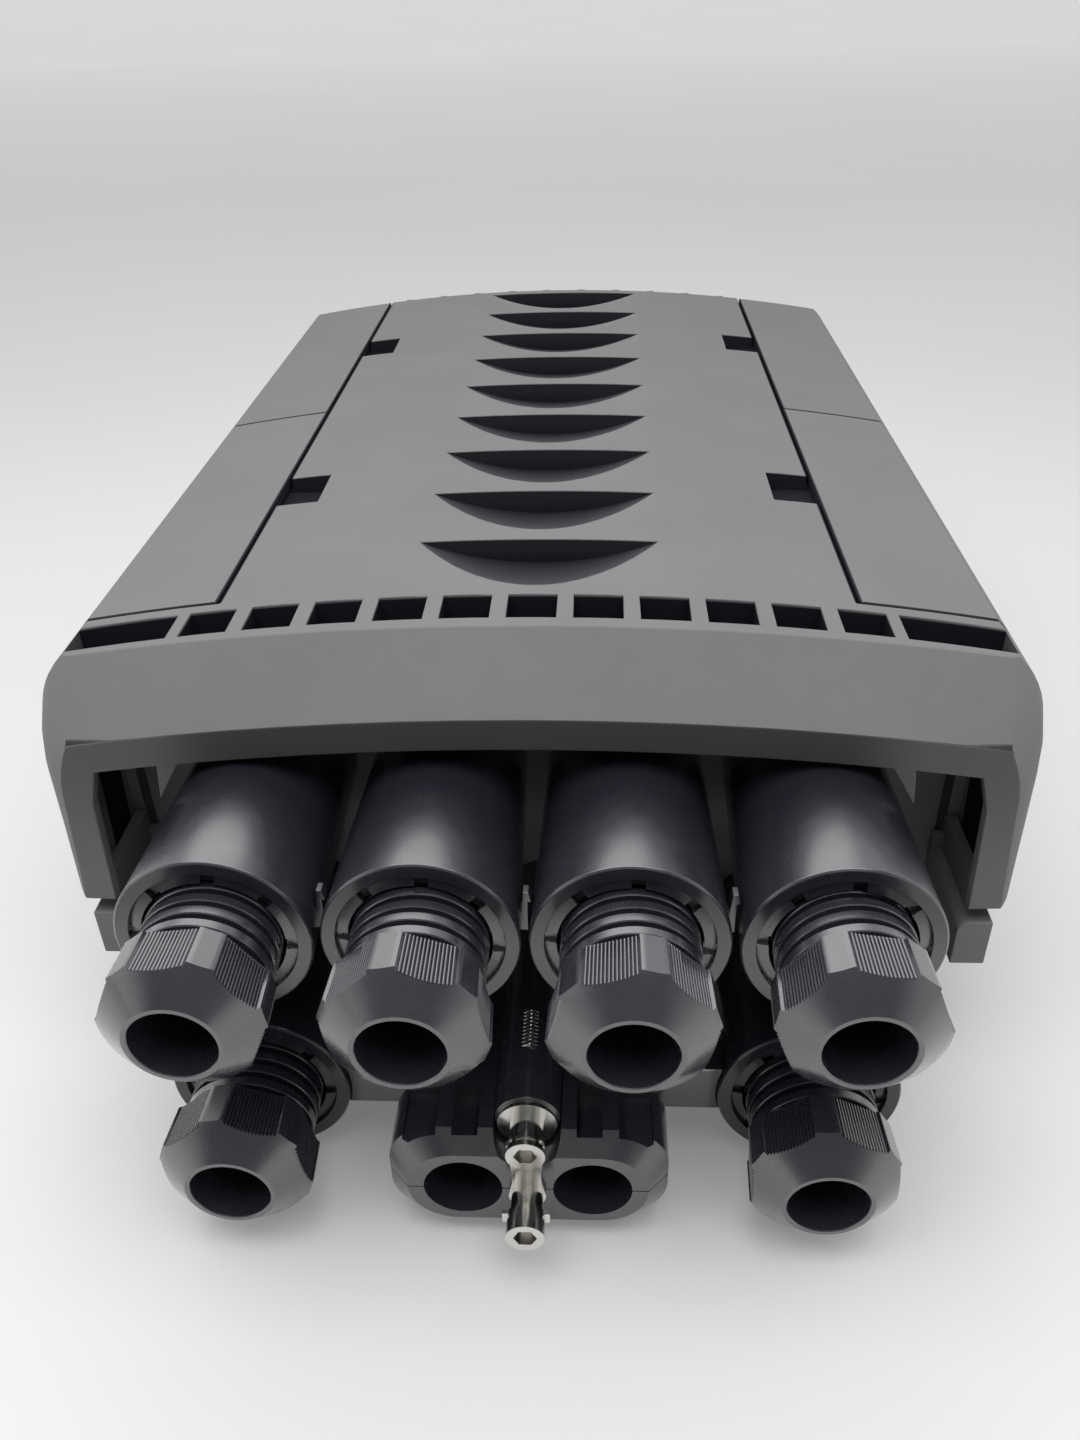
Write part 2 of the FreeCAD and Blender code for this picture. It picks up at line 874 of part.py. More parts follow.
def make_base():
    body = new_body("base_shell")
    outside = tub_section(D.tub_half, 0, D.tub_corner, D.flange_top)
    along_y(body, "Pad", "tub", [outside], D.bulkhead_front, D.tub_rear)

    # side rails that run on forward as feet, and the rear rail
    inner = D.tub_half - D.tub_wall / 2
    turn = D.bulkhead_front - 1
    right = [
        (D.foot_inner, D.foot_front),
        (D.foot_half, D.foot_front),
        (D.foot_half, turn),
        (D.flange_half, turn),
        (D.flange_half, D.hood_rear),
    ]
    inside = [
        (-D.foot_inner, D.bulkhead_front + 2),
        (-inner, D.bulkhead_front + 2),
        (-inner, D.tub_rear - 2),
        (inner, D.tub_rear - 2),
        (inner, D.bulkhead_front + 2),
        (D.foot_inner, D.bulkhead_front + 2),
    ]
    left = [(-x, y) for x, y in reversed(right)]
    along_z(body, "Pad", "rails", [right + left + inside], D.flange_bottom, D.flange_top)

    # rounded inner edges of the feet
    stop_front = D.front_wall - D.stop_thickness
    low = D.flange_top - D.foot_round
    high = D.flange_top + 1
    edge = [
        (D.foot_inner, low),
        (D.foot_inner + D.foot_round, D.flange_top, D.foot_round, -1),
        (D.foot_inner + D.foot_round, high),
        (D.foot_inner - 1, high),
        (D.foot_inner - 1, low),
    ]
    along_y(body, "Pocket", "foot_edges", both_sides(edge), D.foot_front - 1, stop_front)

    # lips that lap inside the hood's legs, and stops that close the way behind them
    lip = box(D.lip_inner, D.lip_outer, D.flange_top - 1, D.cover_bottom + D.lip_rise)
    along_y(body, "Pad", "lips", both_sides(lip), D.lip_front, D.front_wall)
    stop = box(D.foot_inner, D.stop_half, D.flange_bottom, D.cover_bottom - D.clasp_gap)
    along_y(body, "Pad", "stops", both_sides(stop), stop_front, D.front_wall)

    bulkhead_end = D.bulkhead_front + D.bulkhead_thickness
    plate = arch_band(D.tub_half, D.bulkhead_drop, D.flange_top - 2)
    along_y(body, "Pad", "bulkhead", [plate], D.bulkhead_front, bulkhead_end)
    hollow = tub_section(
        D.tub_half - D.tub_wall, D.tub_wall, D.tub_corner - 2, D.flange_top + 1
    )
    along_y(body, "Pocket", "hollow", [hollow], bulkhead_end, D.tub_rear - D.tub_wall)

    # port holes
    holes = [circle(x, z, D.sleeve_tail + 0.1) for x, z, _ in ports()]
    holes.append(oval_bore(0))
    along_y(body, "Pocket", "port_holes", holes, D.bulkhead_front - 1, bulkhead_end + 1)

    # hinge lugs for the clasps
    up = D.hinge_height + D.hinge_radius
    low = D.hinge_height - D.hinge_radius
    lug = [
        (D.flange_half - 1, low),
        (D.hinge_x, low),
        (D.hinge_x + D.hinge_radius, D.hinge_height, D.hinge_radius, 1),
        (D.hinge_x, up, D.hinge_radius, 1),
        (D.flange_half - 1, up),
    ]
    pin = circle(D.hinge_x, D.hinge_height, D.hinge_pin_radius)
    for index, (start, end) in enumerate(lug_spans()):
        along_y(body, "Pad", f"lug_{index}", both_sides(lug, pin), start, end)

    # mounting bosses with blind holes, and the ribbed underside
    spots = [(x, y) for x in (-D.mount_x, D.mount_x) for y in (D.mount_front, D.mount_rear)]
    bosses = [circle(x, y, D.mount_boss) for x, y in spots]
    along_z(body, "Pad", "mount_bosses", bosses, D.tub_wall / 2, D.mount_boss_top)
    bores = [circle(x, y, D.mount_hole) for x, y in spots]
    along_z(body, "Pocket", "mount_holes", bores, 0, D.mount_depth)
    panels = []
    rows = 3
    rib = D.tub_corner
    first = D.bulkhead_front + rib
    pitch = (D.tub_rear - D.bulkhead_front - rib) / rows
    for step in range(rows):
        start = first + pitch * step
        panels += both_sides(box(rib / 2, D.mount_x - D.mount_boss - rib, start, start + pitch - rib))
    along_z(body, "Pocket", "underside", panels, 0, D.foot_recess)
    return body


# Round ports


def make_sleeve(index, x, z, rim, finned):
    body = new_body(f"port_sleeve_{index}")
    reach = D.bulkhead_front - rim
    tail = reach + D.bulkhead_thickness
    seat = tail - D.seat_length - D.bulkhead_thickness
    cone = D.sleeve_bore - D.seat_radius
    profile = [
        (D.sleeve_radius - D.sleeve_chamfer, 0),
        (D.sleeve_radius, D.sleeve_chamfer),
        (D.sleeve_radius - D.sleeve_draft, reach),
        (D.sleeve_tail, reach),
        (D.sleeve_tail, tail),
        (D.seat_radius, tail),
        (D.seat_radius, seat),
        (D.sleeve_bore, seat - cone),
        (D.sleeve_bore, D.collar_end),
        (D.collar_radius, D.collar_end),
        (D.collar_radius, 0),
    ]
    turned(body, "Revolution", "sleeve", profile)
    if finned:
        # upright fin in the gap to the next port, on a root that joins it to the sleeve
        near = D.port_upper_inner - D.fin_thickness / 2
        far = near + D.fin_thickness
        taper = D.fin_thickness / 4
        root_end = D.port_upper_inner + D.fin_thickness / 6
        fin = [
            (D.sleeve_bore + 1, -D.fin_root),
            (root_end, -D.fin_root),
            (root_end, D.fin_low),
            (far, D.fin_low),
            (far - taper, D.fin_rise),
            (near + taper, D.fin_rise),
            (near, D.fin_root),
            (D.sleeve_bore + 1, D.fin_root),
        ]
        start = D.fin_front - rim
        along_y(body, "Pad", "fin", [fin], start, start + D.fin_length)
    place(body, x, rim, z)


def make_collar(index, x, z, rim):
    body = new_body(f"port_collar_{index}")
    profile = [
        (D.collar_bore, D.collar_front),
        (D.collar_radius, D.collar_front + D.collar_cone),
        (D.collar_radius, D.collar_end),
        (D.collar_bore, D.collar_end),
    ]
    turned(body, "Revolution", "collar", profile)
    half = D.collar_notch / 2
    notch = box(-half, half, D.collar_bore - 1, D.collar_radius + 1)
    cut = along_y(
        body, "Pocket", "notch", [notch], D.collar_front, D.collar_front + D.collar_notch_depth
    )
    ring_of(body, "notches", cut, D.collar_teeth)
    place(body, x, rim, z, D.collar_turn.value)


def nut_outline(shrink):
    """Six proud pads at the corners and six lower flats between them, joined by sloping walls."""
    flat = (D.nut_flat - shrink, D.nut_flat_half)
    pad = (D.nut_pad - shrink, D.nut_pad_half)
    corners = []
    for step in range(12):
        turn = step * math.pi / 6
        out_x, out_z = math.sin(turn), math.cos(turn)
        reach, half = pad if step % 2 else flat
        for along in (-1, 1):
            x = reach * out_x + half * (along * out_z)
            z = reach * out_z - half * (along * out_x)
            corners.append((x, z))
    return corners


def make_nut(index, x, z, rim, out, turn):
    body = new_body(f"gland_nut_{index}")
    head = sketch_on(body, "XZ_Plane", "head_front", [nut_outline(0)], 0)
    back = sketch_on(body, "XZ_Plane", "head_back", [nut_outline(D.nut_draft)], -D.nut_length)
    loft = feature(body, "AdditiveLoft", "head", head)
    loft.Sections = [back]
    cone = [
        (D.nut_lip, 0),
        (D.nut_cone_radius, D.nut_cone),
        (D.nut_cone_radius + 1, D.nut_cone),
        (D.nut_cone_radius + 1, -1),
        (D.nut_lip, -1),
    ]
    turned(body, "Groove", "cone", cone)
    end = D.nut_front + D.spigot_end
    spigot = [circle(0, 0, D.spigot_radius)]
    along_y(body, "Pad", "spigot", spigot, D.nut_length - 1, end)
    bore = [circle(0, 0, D.nut_bore)]
    along_y(body, "Pocket", "bore", bore, 0, end + 1)
    place(body, x, rim - D.nut_front - out, z, turn)


def make_thrust_ring(index, x, z, rim, out):
    body = new_body(f"thrust_ring_{index}")
    start = D.spigot_end - out + 0.3
    profile = box(D.nut_bore + 0.6, D.ring_radius, start, start + D.ring_thickness)
    turned(body, "Revolution", "ring", profile)
    place(body, x, rim, z)


def make_seal(index, x, z, rim):
    body = new_body(f"gland_seal_{index}")
    reach = D.bulkhead_front - rim
    seat = reach - D.seat_length
    cone = D.sleeve_bore - D.seat_radius
    play = D.sleeve_bore - D.seal_radius
    profile = [
        (D.seal_bore, D.seal_front),
        (D.seal_radius, D.seal_front),
        (D.seal_radius, seat - cone - play),
        (D.seat_radius, seat - play * 2),
        (D.seal_bore, seat - play * 2),
    ]
    turned(body, "Revolution", "seal", profile)
    place(body, x, rim, z)


def make_ports():
    # how far each nut is screwed out from its nominal place, and how far it is turned
    outs = [0, 1, 0.9, -1.2, 0, 0]
    turns = [-7, 19.5, -16.6, 8.8, 20, 26.7]
    for index, (x, z, rim) in enumerate(ports(), start=1):
        make_sleeve(index, x, z, rim, index < 4)
        make_collar(index, x, z, rim)
        make_nut(index, x, z, rim, outs[index - 1], turns[index - 1])
        make_thrust_ring(index, x, z, rim, outs[index - 1])
        make_seal(index, x, z, rim)


# Oval double port


def half_oblong(half, rise, corner, side):
    """Upper (+1) or lower (-1) half of the clamp's outline."""
    near = D.oval_height + D.oval_split / 2 * side
    far = D.oval_height + rise * side
    bend = D.oval_height + (rise - corner) * side
    return [
        (-half, near),
        (-half, bend),
        (-half + corner, far, corner, -side),
        (half - corner, far),
        (half, bend, corner, -side),
        (half, near),
    ]


def make_oval_clamp(label, side):
    body = new_body(label)
    face = half_oblong(D.oval_face_half, D.oval_face_rise, D.oval_face_corner, side)
    full = half_oblong(D.oval_half, D.oval_rise, D.oval_corner, side)
    behind = D.oval_front + D.oval_bevel
    front = sketch_on(body, "XZ_Plane", "face", [face], -D.oval_front)
    back = sketch_on(body, "XZ_Plane", "brow", [full], -behind)
    loft = feature(body, "AdditiveLoft", "bevel", front)
    loft.Sections = [back]
    along_y(body, "Pad", "block", [full], behind, D.oval_back)
    holes = both_sides(circle(D.oval_hole_x, D.oval_height, D.oval_hole))
    holes.append(circle(0, D.oval_height, D.stud_shank + 0.1))
    along_y(body, "Pocket", "holes", holes, D.oval_front - 1, D.oval_back + 1)
    if side > 0:
        seat = [circle(0, D.boss_height, D.boss_radius + 0.3)]
        along_y(body, "Pocket", "boss_seat", seat, D.oval_front - 1, D.oval_back + 1)
        top = D.oval_height + D.oval_rise
        floor = D.oval_height + D.oval_hole + D.oval_wall * 0.8
        near = behind - D.crenel_cut
        pockets = both_sides(
            box(D.crenel_inner, D.crenel_rib, near, D.oval_back - D.crenel_cut),
            box(D.crenel_rib + D.crenel_rib_width, D.crenel_outer, near, D.oval_back - D.crenel_cut),
        )
        along_z(body, "Pocket", "crenels", pockets, floor, top + 1)


def make_oval_sleeve():
    body = new_body("oval_sleeve")
    outer = oblong(D.oval_sleeve_half, D.oval_sleeve_rise, D.oval_corner)
    along_y(body, "Pad", "tube", [outer], D.oval_back, D.bulkhead_front)
    along_y(body, "Pocket", "bore", [oval_bore(0)], D.oval_back - 1, D.bulkhead_front + 1)
    boss = [circle(0, D.boss_height, D.boss_radius)]
    along_y(body, "Pad", "boss", boss, D.boss_front, D.bulkhead_front)
    hole = [circle(0, D.boss_height, D.stud_shank + 0.05)]
    along_y(body, "Pocket", "stud_hole", hole, D.boss_front, D.boss_front + D.stud_depth)


def make_oval_seal():
    body = new_body("oval_seal")
    end = D.oval_back + D.oval_seal_length
    along_y(body, "Pad", "block", [oval_bore(0.2)], D.oval_back + 0.3, end)
    holes = both_sides(circle(D.oval_hole_x, D.oval_height, D.oval_hole))
    holes.append(circle(0, D.oval_height, D.stud_shank + 0.1))
    along_y(body, "Pocket", "holes", holes, D.oval_back, end + 1)
    notch = [circle(0, D.boss_height, D.boss_radius + 0.2)]
    along_y(body, "Pocket", "boss_notch", notch, D.oval_back, end + 1)


# Earthing hardware


def hexagon(x, z, flat):
    """Six-sided socket with points at the left and right."""
    reach = 1 / math.cos(math.pi / 6)
    corners = []
    for side in range(6):
        turn = side * math.pi / 3
        corners.append((x + flat * (reach * math.cos(turn)), z + flat * (reach * math.sin(turn))))
    return corners


def make_hardware():
    link_back = D.oval_front - D.link_gap
    link_front = link_back - D.link_thickness
    neck_front = link_front - D.link_neck_length
    ring = D.link_thickness

    stud = new_body("earth_stud")
    seat = D.boss_front - D.washer_thickness
    tip = D.boss_front + D.stud_depth - 1
    profile = [
        (0, link_front - ring),
        (D.stud_ring, link_front - ring),
        (D.stud_ring, link_front),
        (D.stud_shank, link_front),
        (D.stud_shank, link_back),
        (D.stud_radius, link_back),
        (D.stud_radius, seat),
        (D.stud_shank, seat),
        (D.stud_shank, tip),
        (0, tip),
    ]
    turned(stud, "Revolution", "stud", profile)
    socket = [hexagon(0, 0, D.socket_flat)]
    front = link_front - ring
    along_y(stud, "Pocket", "socket", socket, front, front + D.socket_depth)
    place(stud, 0, 0, D.boss_height)

    washer = new_body("earth_washer")
    profile = box(D.stud_shank + 0.1, D.washer_radius, seat, D.boss_front)
    turned(washer, "Revolution", "washer", profile)
    place(washer, 0, 0, D.boss_height)

    screw = new_body("clamp_screw")
    under = neck_front - D.screw_washer_thickness
    profile = [
        (0, D.head_front),
        (D.head_radius, D.head_front),
        (D.head_radius, under),
        (D.stud_shank, under),
        (D.stud_shank, D.screw_tip),
        (0, D.screw_tip),
    ]
    turned(screw, "Revolution", "screw", profile)
    socket = [hexagon(0, 0, D.socket_flat)]
    along_y(screw, "Pocket", "socket", socket, D.head_front, D.head_front + D.socket_depth)
    place(screw, 0, 0, D.oval_height)

    flat = new_body("clamp_washer")
    profile = box(D.stud_shank + 0.1, D.screw_washer_radius, under, neck_front)
    turned(flat, "Revolution", "washer", profile)
    ear = box(D.stud_shank + 0.5, D.screw_washer_reach, -D.screw_washer_ear, D.screw_washer_ear)
    along_y(flat, "Pad", "ears", both_sides(ear), under, neck_front)
    place(flat, 0, 0, D.oval_height)

    # flat strip: a fork on the stud's neck, a waist and an eye with a neck under the clamp screw
    link = new_body("bonding_link")
    slot = D.stud_shank + 0.05
    fork = D.boss_height - D.stud_ring
    waist = D.link_waist / 2
    bend = D.oval_height + D.link_eye
    strip = [
        (slot, D.boss_height + 2),
        (D.link_eye, D.boss_height + 2),
        (D.link_eye, fork + 1.5),
        (waist + 0.4, fork),
        (waist, bend + 4),
        (D.link_eye - 1, bend),
        (D.link_eye, D.oval_height),
    ]
    bottom = [
        (0, D.oval_height - D.link_eye, D.link_eye, -1),
        (-D.link_eye, D.oval_height, D.link_eye, -1),
    ]
    left = [(-x, z) for x, z in reversed(strip[:-1])]
    neck = [
        (-slot, D.boss_height),
        (0, D.boss_height - slot, slot, 1),
        (slot, D.boss_height, slot, 1),
    ]
    along_y(link, "Pad", "strip", [strip + bottom + left + neck], link_front, link_back)
    collar = [circle(0, D.oval_height, D.link_neck)]
    along_y(link, "Pad", "neck", collar, neck_front, link_front)
    eye = [circle(0, D.oval_height, slot)]
    along_y(link, "Pocket", "eye", eye, neck_front - 1, link_back + 1)


# Inside: tray carrier, splice trays and cable anchor bar


def hinge_y():
    return D.tray_front + 5


def make_carrier():
    body = new_body("tray_carrier")
    low = D.mount_boss_top
    top = low + D.plate_thickness
    cheek = D.tray_half + D.clasp_gap
    outer = cheek + D.cheek_thickness
    plate = box(-outer, outer, D.mount_front - 12, D.tray_rear)
    along_z(body, "Pad", "plate", [plate], low, top)
    roof = D.tray_base + D.tray_pitch * D.tray_count
    cheeks = both_sides(box(cheek, outer, D.mount_front + 20, D.tray_front + 12))
    along_z(body, "Pad", "cheeks", cheeks, top - 1, roof)
    for step in range(int(D.tray_count.value)):
        z = D.tray_base + D.tray_pitch * step + D.tray_height / 2
        bore = [circle(hinge_y(), z, D.tray_pin_radius + 0.1)]
        sketch = sketch_on(body, "YZ_Plane", f"pin_{step}", bore, -outer - 1)
        cut = feature(body, "Pocket", f"pin_hole_{step}", sketch, outer * 2 + 2, True)
        cut.Label = f"pin_hole_{step}"


def make_tray(index):
    body = new_body(f"splice_tray_{index + 1}")
    low = D.tray_base + D.tray_pitch * index
    top = low + D.tray_height
    half = D.tray_half
    plan = box(-half, half, D.tray_front, D.tray_rear)
    along_z(body, "Pad", "slab", [plan], low, top)
    wall = D.tray_wall
    inside = box(-half + wall, half - wall, D.tray_front + 12, D.tray_rear - wall)
    along_z(body, "Pocket", "well", [inside], low + wall, top + 1)
    # splice holder ribs in the middle and the two winding drums
    ribs = []
    middle = (D.tray_front + D.tray_rear) / 2
    for step in range(-3, 4):
        left = D.splice_pitch * step - D.tray_wall / 2
        ribs.append(box(left, left + D.tray_wall, middle - D.splice_half, middle + D.splice_half))
    along_z(body, "Pad", "splice_ribs", ribs, low + wall - 0.5, low + D.tray_height * 0.7)
    drums = []
    for radius in (D.drum_radius, D.drum_radius - wall):
        drums += [circle(0, middle + D.drum_offset * side, radius) for side in (-1, 1)]
    along_z(body, "Pad", "drums", drums, low + wall - 0.5, low + D.tray_height * 0.8)
    bore = [circle(hinge_y(), low + D.tray_height / 2, D.tray_pin_radius + 0.1)]
    sketch = sketch_on(body, "YZ_Plane", "pin", bore, -half - 1)
    feature(body, "Pocket", "pin_hole", sketch, half * 2 + 2, True)


def make_tray_lid():
    body = new_body("tray_lid")
    low = D.tray_base + D.tray_pitch * (D.tray_count - 1) + D.tray_height
    plan = box(-D.tray_half, D.tray_half, D.tray_front + 12, D.tray_rear)
    along_z(body, "Pad", "lid", [plan], low, low + 1.5)


def make_tray_pins():
    pins = []
    reach = D.tray_half + D.clasp_gap + D.cheek_thickness
    for step in range(int(D.tray_count.value)):
        pin = doc.addObject("Part::Cylinder", "tray_pin")
        bind(pin, "Radius", D.tray_pin_radius)
        bind(pin, "Height", reach * 2)
        height = D.tray_base + D.tray_pitch * step + D.tray_height / 2
        spot = Vector(-reach.value, hinge_y().value, height.value)
        pin.Placement = Placement(spot, Rotation(Vector(0, 1, 0), 90))
        bind(pin, "Placement.Base.x", -reach)
        bind(pin, "Placement.Base.y", hinge_y())
        bind(pin, "Placement.Base.z", height)
        pins.append(pin)
    group("tray_hinge_pins", pins)


def make_anchor():
    bar = new_body("anchor_bar")
    out = D.anchor_half
    inner = out - D.plate_thickness
    low = D.tub_wall
    under = D.anchor_top - D.plate_thickness
    bridge = [
        (-out, low),
        (-out, D.anchor_top),
        (out, D.anchor_top),
        (out, low),
        (inner, low),
        (inner, under),
        (-inner, under),
        (-inner, low),
    ]
    back = D.anchor_front + D.anchor_width
    along_y(bar, "Pad", "bridge", [bridge], D.anchor_front, back)
    middle = D.anchor_front + D.anchor_width / 2
    columns = (D.oval_hole_x, D.port_lower)
    holes = both_sides(*(circle(x, middle, D.anchor_screw + 0.1) for x in columns))
    along_z(bar, "Pocket", "screw_holes", holes, low, D.anchor_top + 1)

    screws = new_body("anchor_screws")
    heads = both_sides(*(circle(x, middle, D.anchor_head) for x in columns))
    top = D.anchor_top + D.anchor_head_height
    along_z(screws, "Pad", "heads", heads, D.anchor_top, top)
    shanks = both_sides(*(circle(x, middle, D.anchor_screw) for x in columns))
    along_z(screws, "Pad", "shanks", shanks, low + 1, D.anchor_top)


os.makedirs("parts", exist_ok=True)
make_cover()
make_gasket()
make_clasps()
make_hinge_pins()
make_base()
make_ports()
make_oval_clamp("oval_clamp_upper", 1)
make_oval_clamp("oval_clamp_lower", -1)
make_oval_sleeve()
make_oval_seal()
make_hardware()
make_carrier()
for tray in range(int(D.tray_count.value)):
    make_tray(tray)
make_tray_lid()
make_tray_pins()
make_anchor()
doc.recompute()

KINDS = ("PartDesign::Body", "Part::Mirroring", "Part::Compound")
for item in doc.Objects:
    if "Invalid" in item.State or "Error" in item.State:
        raise RuntimeError(f"{item.Name} did not build: {item.State}")
for item in doc.Objects:
    if item.TypeId not in KINDS:
        continue
    if item.Shape.isNull() or not item.Shape.isValid():
        raise RuntimeError(f"{item.Label} has no sound shape")
    item.Shape.exportStep(f"parts/{item.Label}.step")
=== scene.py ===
"""Looks of the fibre splice closure: moulded plastic, plated metal, detailed gland nuts and the studio."""

import json
import math

import bpy
from mathutils import Matrix, Vector


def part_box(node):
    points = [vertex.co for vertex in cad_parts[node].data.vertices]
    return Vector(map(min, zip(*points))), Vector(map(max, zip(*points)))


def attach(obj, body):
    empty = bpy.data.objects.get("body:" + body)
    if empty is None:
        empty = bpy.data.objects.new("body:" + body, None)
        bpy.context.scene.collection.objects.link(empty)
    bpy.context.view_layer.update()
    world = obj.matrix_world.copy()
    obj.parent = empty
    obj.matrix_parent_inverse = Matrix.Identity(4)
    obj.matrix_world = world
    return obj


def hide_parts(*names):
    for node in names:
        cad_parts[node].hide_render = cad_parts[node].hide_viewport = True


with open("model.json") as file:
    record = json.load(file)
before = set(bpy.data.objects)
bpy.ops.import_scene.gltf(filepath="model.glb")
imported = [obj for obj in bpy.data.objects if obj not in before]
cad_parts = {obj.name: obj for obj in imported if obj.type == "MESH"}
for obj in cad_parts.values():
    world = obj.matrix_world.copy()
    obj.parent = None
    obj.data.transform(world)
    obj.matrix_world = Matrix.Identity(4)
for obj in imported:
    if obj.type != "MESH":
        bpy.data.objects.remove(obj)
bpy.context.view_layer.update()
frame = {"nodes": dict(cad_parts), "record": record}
NODES = frame["nodes"]
MM = 0.001

# camera that took the photograph, solved from the object's own edges; angles in radians
CAMERA_AT = (0.016435, -0.388069, 0.28103)
CAMERA_YAW = -0.0561
CAMERA_PITCH = 0.5811
CAMERA_ROLL = -0.0265
CAMERA_LENS = 29.34


def add_camera():
    flat = math.cos(CAMERA_PITCH)
    ahead = Vector((math.sin(CAMERA_YAW) * flat, math.cos(CAMERA_YAW) * flat, -math.sin(CAMERA_PITCH)))
    level = Vector((math.cos(CAMERA_YAW), -math.sin(CAMERA_YAW), 0))
    upright = level.cross(ahead)
    side = math.cos(CAMERA_ROLL) * level + math.sin(CAMERA_ROLL) * upright
    top = math.cos(CAMERA_ROLL) * upright - math.sin(CAMERA_ROLL) * level
    data = bpy.data.cameras.new("camera")
    data.lens = CAMERA_LENS
    data.clip_start = 0.01
    camera = bpy.data.objects.new("camera", data)
    turn = Matrix((side, top, -ahead)).transposed().to_4x4()
    camera.matrix_world = Matrix.Translation(CAMERA_AT) @ turn
    bpy.context.scene.collection.objects.link(camera)
    bpy.context.scene.camera = camera


class Graph:
    """Nodes of a material, a modifier or the world, added and linked by short calls."""

    NOISE_LOW, NOISE_HIGH = 0.3, 0.7  # most of a noise lies between these

    def __init__(self, tree):
        self.tree = tree
        self.nodes = tree.nodes
        self.nodes.clear()

    def add(self, kind, inputs=None, **settings):
        node = self.nodes.new(kind)
        for key, value in settings.items():
            setattr(node, key, value)
        for key, value in (inputs or {}).items():
            if isinstance(value, bpy.types.NodeSocket):
                self.tree.links.new(value, node.inputs[key])
            else:
                node.inputs[key].default_value = value
        return node

    def math(self, operation, a, b, clamp=False):
        return self.add("ShaderNodeMath", {0: a, 1: b}, operation=operation, use_clamp=clamp).outputs[0]

    def total(self, first, *others):
        for other in others:
            first = self.math("ADD", first, other)
        return first

    def product(self, first, *others):
        for other in others:
            first = self.math("MULTIPLY", first, other)
        return first

    def most(self, first, *others):
        for other in others:
            first = self.math("MAXIMUM", first, other)
        return first

    def inverse(self, value):
        return self.math("SUBTRACT", 1.0, value)

    def step(self, value, low, high):
        """Soft step from 0 to 1 between two values."""
        inputs = {"Value": value, "From Min": low, "From Max": high}
        return self.add("ShaderNodeMapRange", inputs, interpolation_type="SMOOTHSTEP").outputs["Result"]

    def below(self, value, limit, soft):
        """1 below a limit, 0 above it."""
        return self.inverse(self.step(value, limit - soft, limit))

    def within(self, value, low, high, soft):
        """1 between two limits, 0 outside them."""
        rise = self.step(value, low, low + soft)
        return self.math("SUBTRACT", rise, self.step(value, high - soft, high))

    def compare(self, a, operation, b):
        return self.add("FunctionNodeCompare", {0: a, 1: b}, operation=operation).outputs[0]

    def mix(self, share, a, b, blend="MIX"):
        """Mix of two colours; a Mix node keeps its colour sockets after the number and vector ones."""
        node = self.add("ShaderNodeMix", {0: share, 6: a, 7: b}, data_type="RGBA", blend_type=blend)
        return node.outputs[2]

    def noise(self, place, scale, detail=2.0, rough=0.5):
        inputs = {"Vector": place, "Scale": scale, "Detail": detail, "Roughness": rough}
        return self.add("ShaderNodeTexNoise", inputs).outputs["Fac"]

    def spread(self, value, low, high):
        """Maps the middle of a noise onto a range of numbers."""
        inputs = {"Value": value, "From Min": self.NOISE_LOW, "From Max": self.NOISE_HIGH}
        inputs.update({"To Min": low, "To Max": high})
        return self.add("ShaderNodeMapRange", inputs).outputs["Result"]

    def tones(self, value, dark, light):
        """Maps the middle of a noise onto a range of colours."""
        ramp = self.add("ShaderNodeValToRGB", {"Fac": value})
        ramp.color_ramp.elements[0].position = self.NOISE_LOW
        ramp.color_ramp.elements[0].color = (*dark, 1)
        ramp.color_ramp.elements[1].position = self.NOISE_HIGH
        ramp.color_ramp.elements[1].color = (*light, 1)
        return ramp.outputs["Color"]


def shaded(color, share):
    return tuple(part * share for part in color)


def new_material(name):
    material = bpy.data.materials.new(name)
    material.use_nodes = True
    return material, Graph(material.node_tree)


def place_parts(graph):
    """Distance from the middle plane, Y, Z and how far a face looks to the front."""
    spot = graph.add("ShaderNodeTexCoord")
    parts = graph.add("ShaderNodeSeparateXYZ", {0: spot.outputs["Object"]})
    facing = graph.add("ShaderNodeSeparateXYZ", {0: spot.outputs["Normal"]})
    side = graph.math("ABSOLUTE", parts.outputs["X"], 0.0)
    ahead = graph.product(facing.outputs["Y"], -1.0)
    return side, parts.outputs["Y"], parts.outputs["Z"], ahead


# Shade is painted into the recesses: where, in metres, with pairs for the ends of a soft step, and how dark, from
# 0 to 1.
# colour that the painted shade mixes in
PAINTED_SHADE_COLOR = (0.012, 0.013, 0.018)
SHARP = 0.2 * MM
CLASP_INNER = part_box("clasp_front_right")[0].x
CLASP_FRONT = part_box("clasp_front_right")[0].y
CLASP_SPLIT = (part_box("clasp_front_right")[1].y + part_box("clasp_rear_right")[0].y) / 2

# the hood's crown is an arch about an axis along Y, and depths count down from it
ARCH_RADIUS = 0.74
ARCH_AXIS = -0.6005
ROOF_START, ROOF_END, ROOF_HALF = -0.11, 0.2112, 0.0885
LOUVRE_DEPTH, LOUVRE_HALF = 0.0075, 0.044
LOUVRE_FACING = (0.6, 0.8)
LOUVRE_FLOOR, LOUVRE_FADE, LOUVRE_WALL, POCKET = 0.95, 0.19, 0.9, 0.95
WINDOW_START, WINDOW_END, WINDOW_HALF = -0.1256, -0.1121, 0.1246
WINDOW = 0.97
BEAM_DEPTH, BEAM_END = 0.0165, -0.1398
BEAM_FACING, BEAM_RISE, BEAM_SIDES = (0.75, 0.9), (0.062, 0.112), (0.078, 0.102)
BEAM, BEAM_UPPER, BEAM_MIDDLE = 0.13, 0.27, 0.28
VISOR_START, VISOR_END, VISOR_HALF, VISOR_DEPTH = -0.1406, -0.1085, 0.1252, 0.0185
VISOR = 0.1
SEAM = 0.9


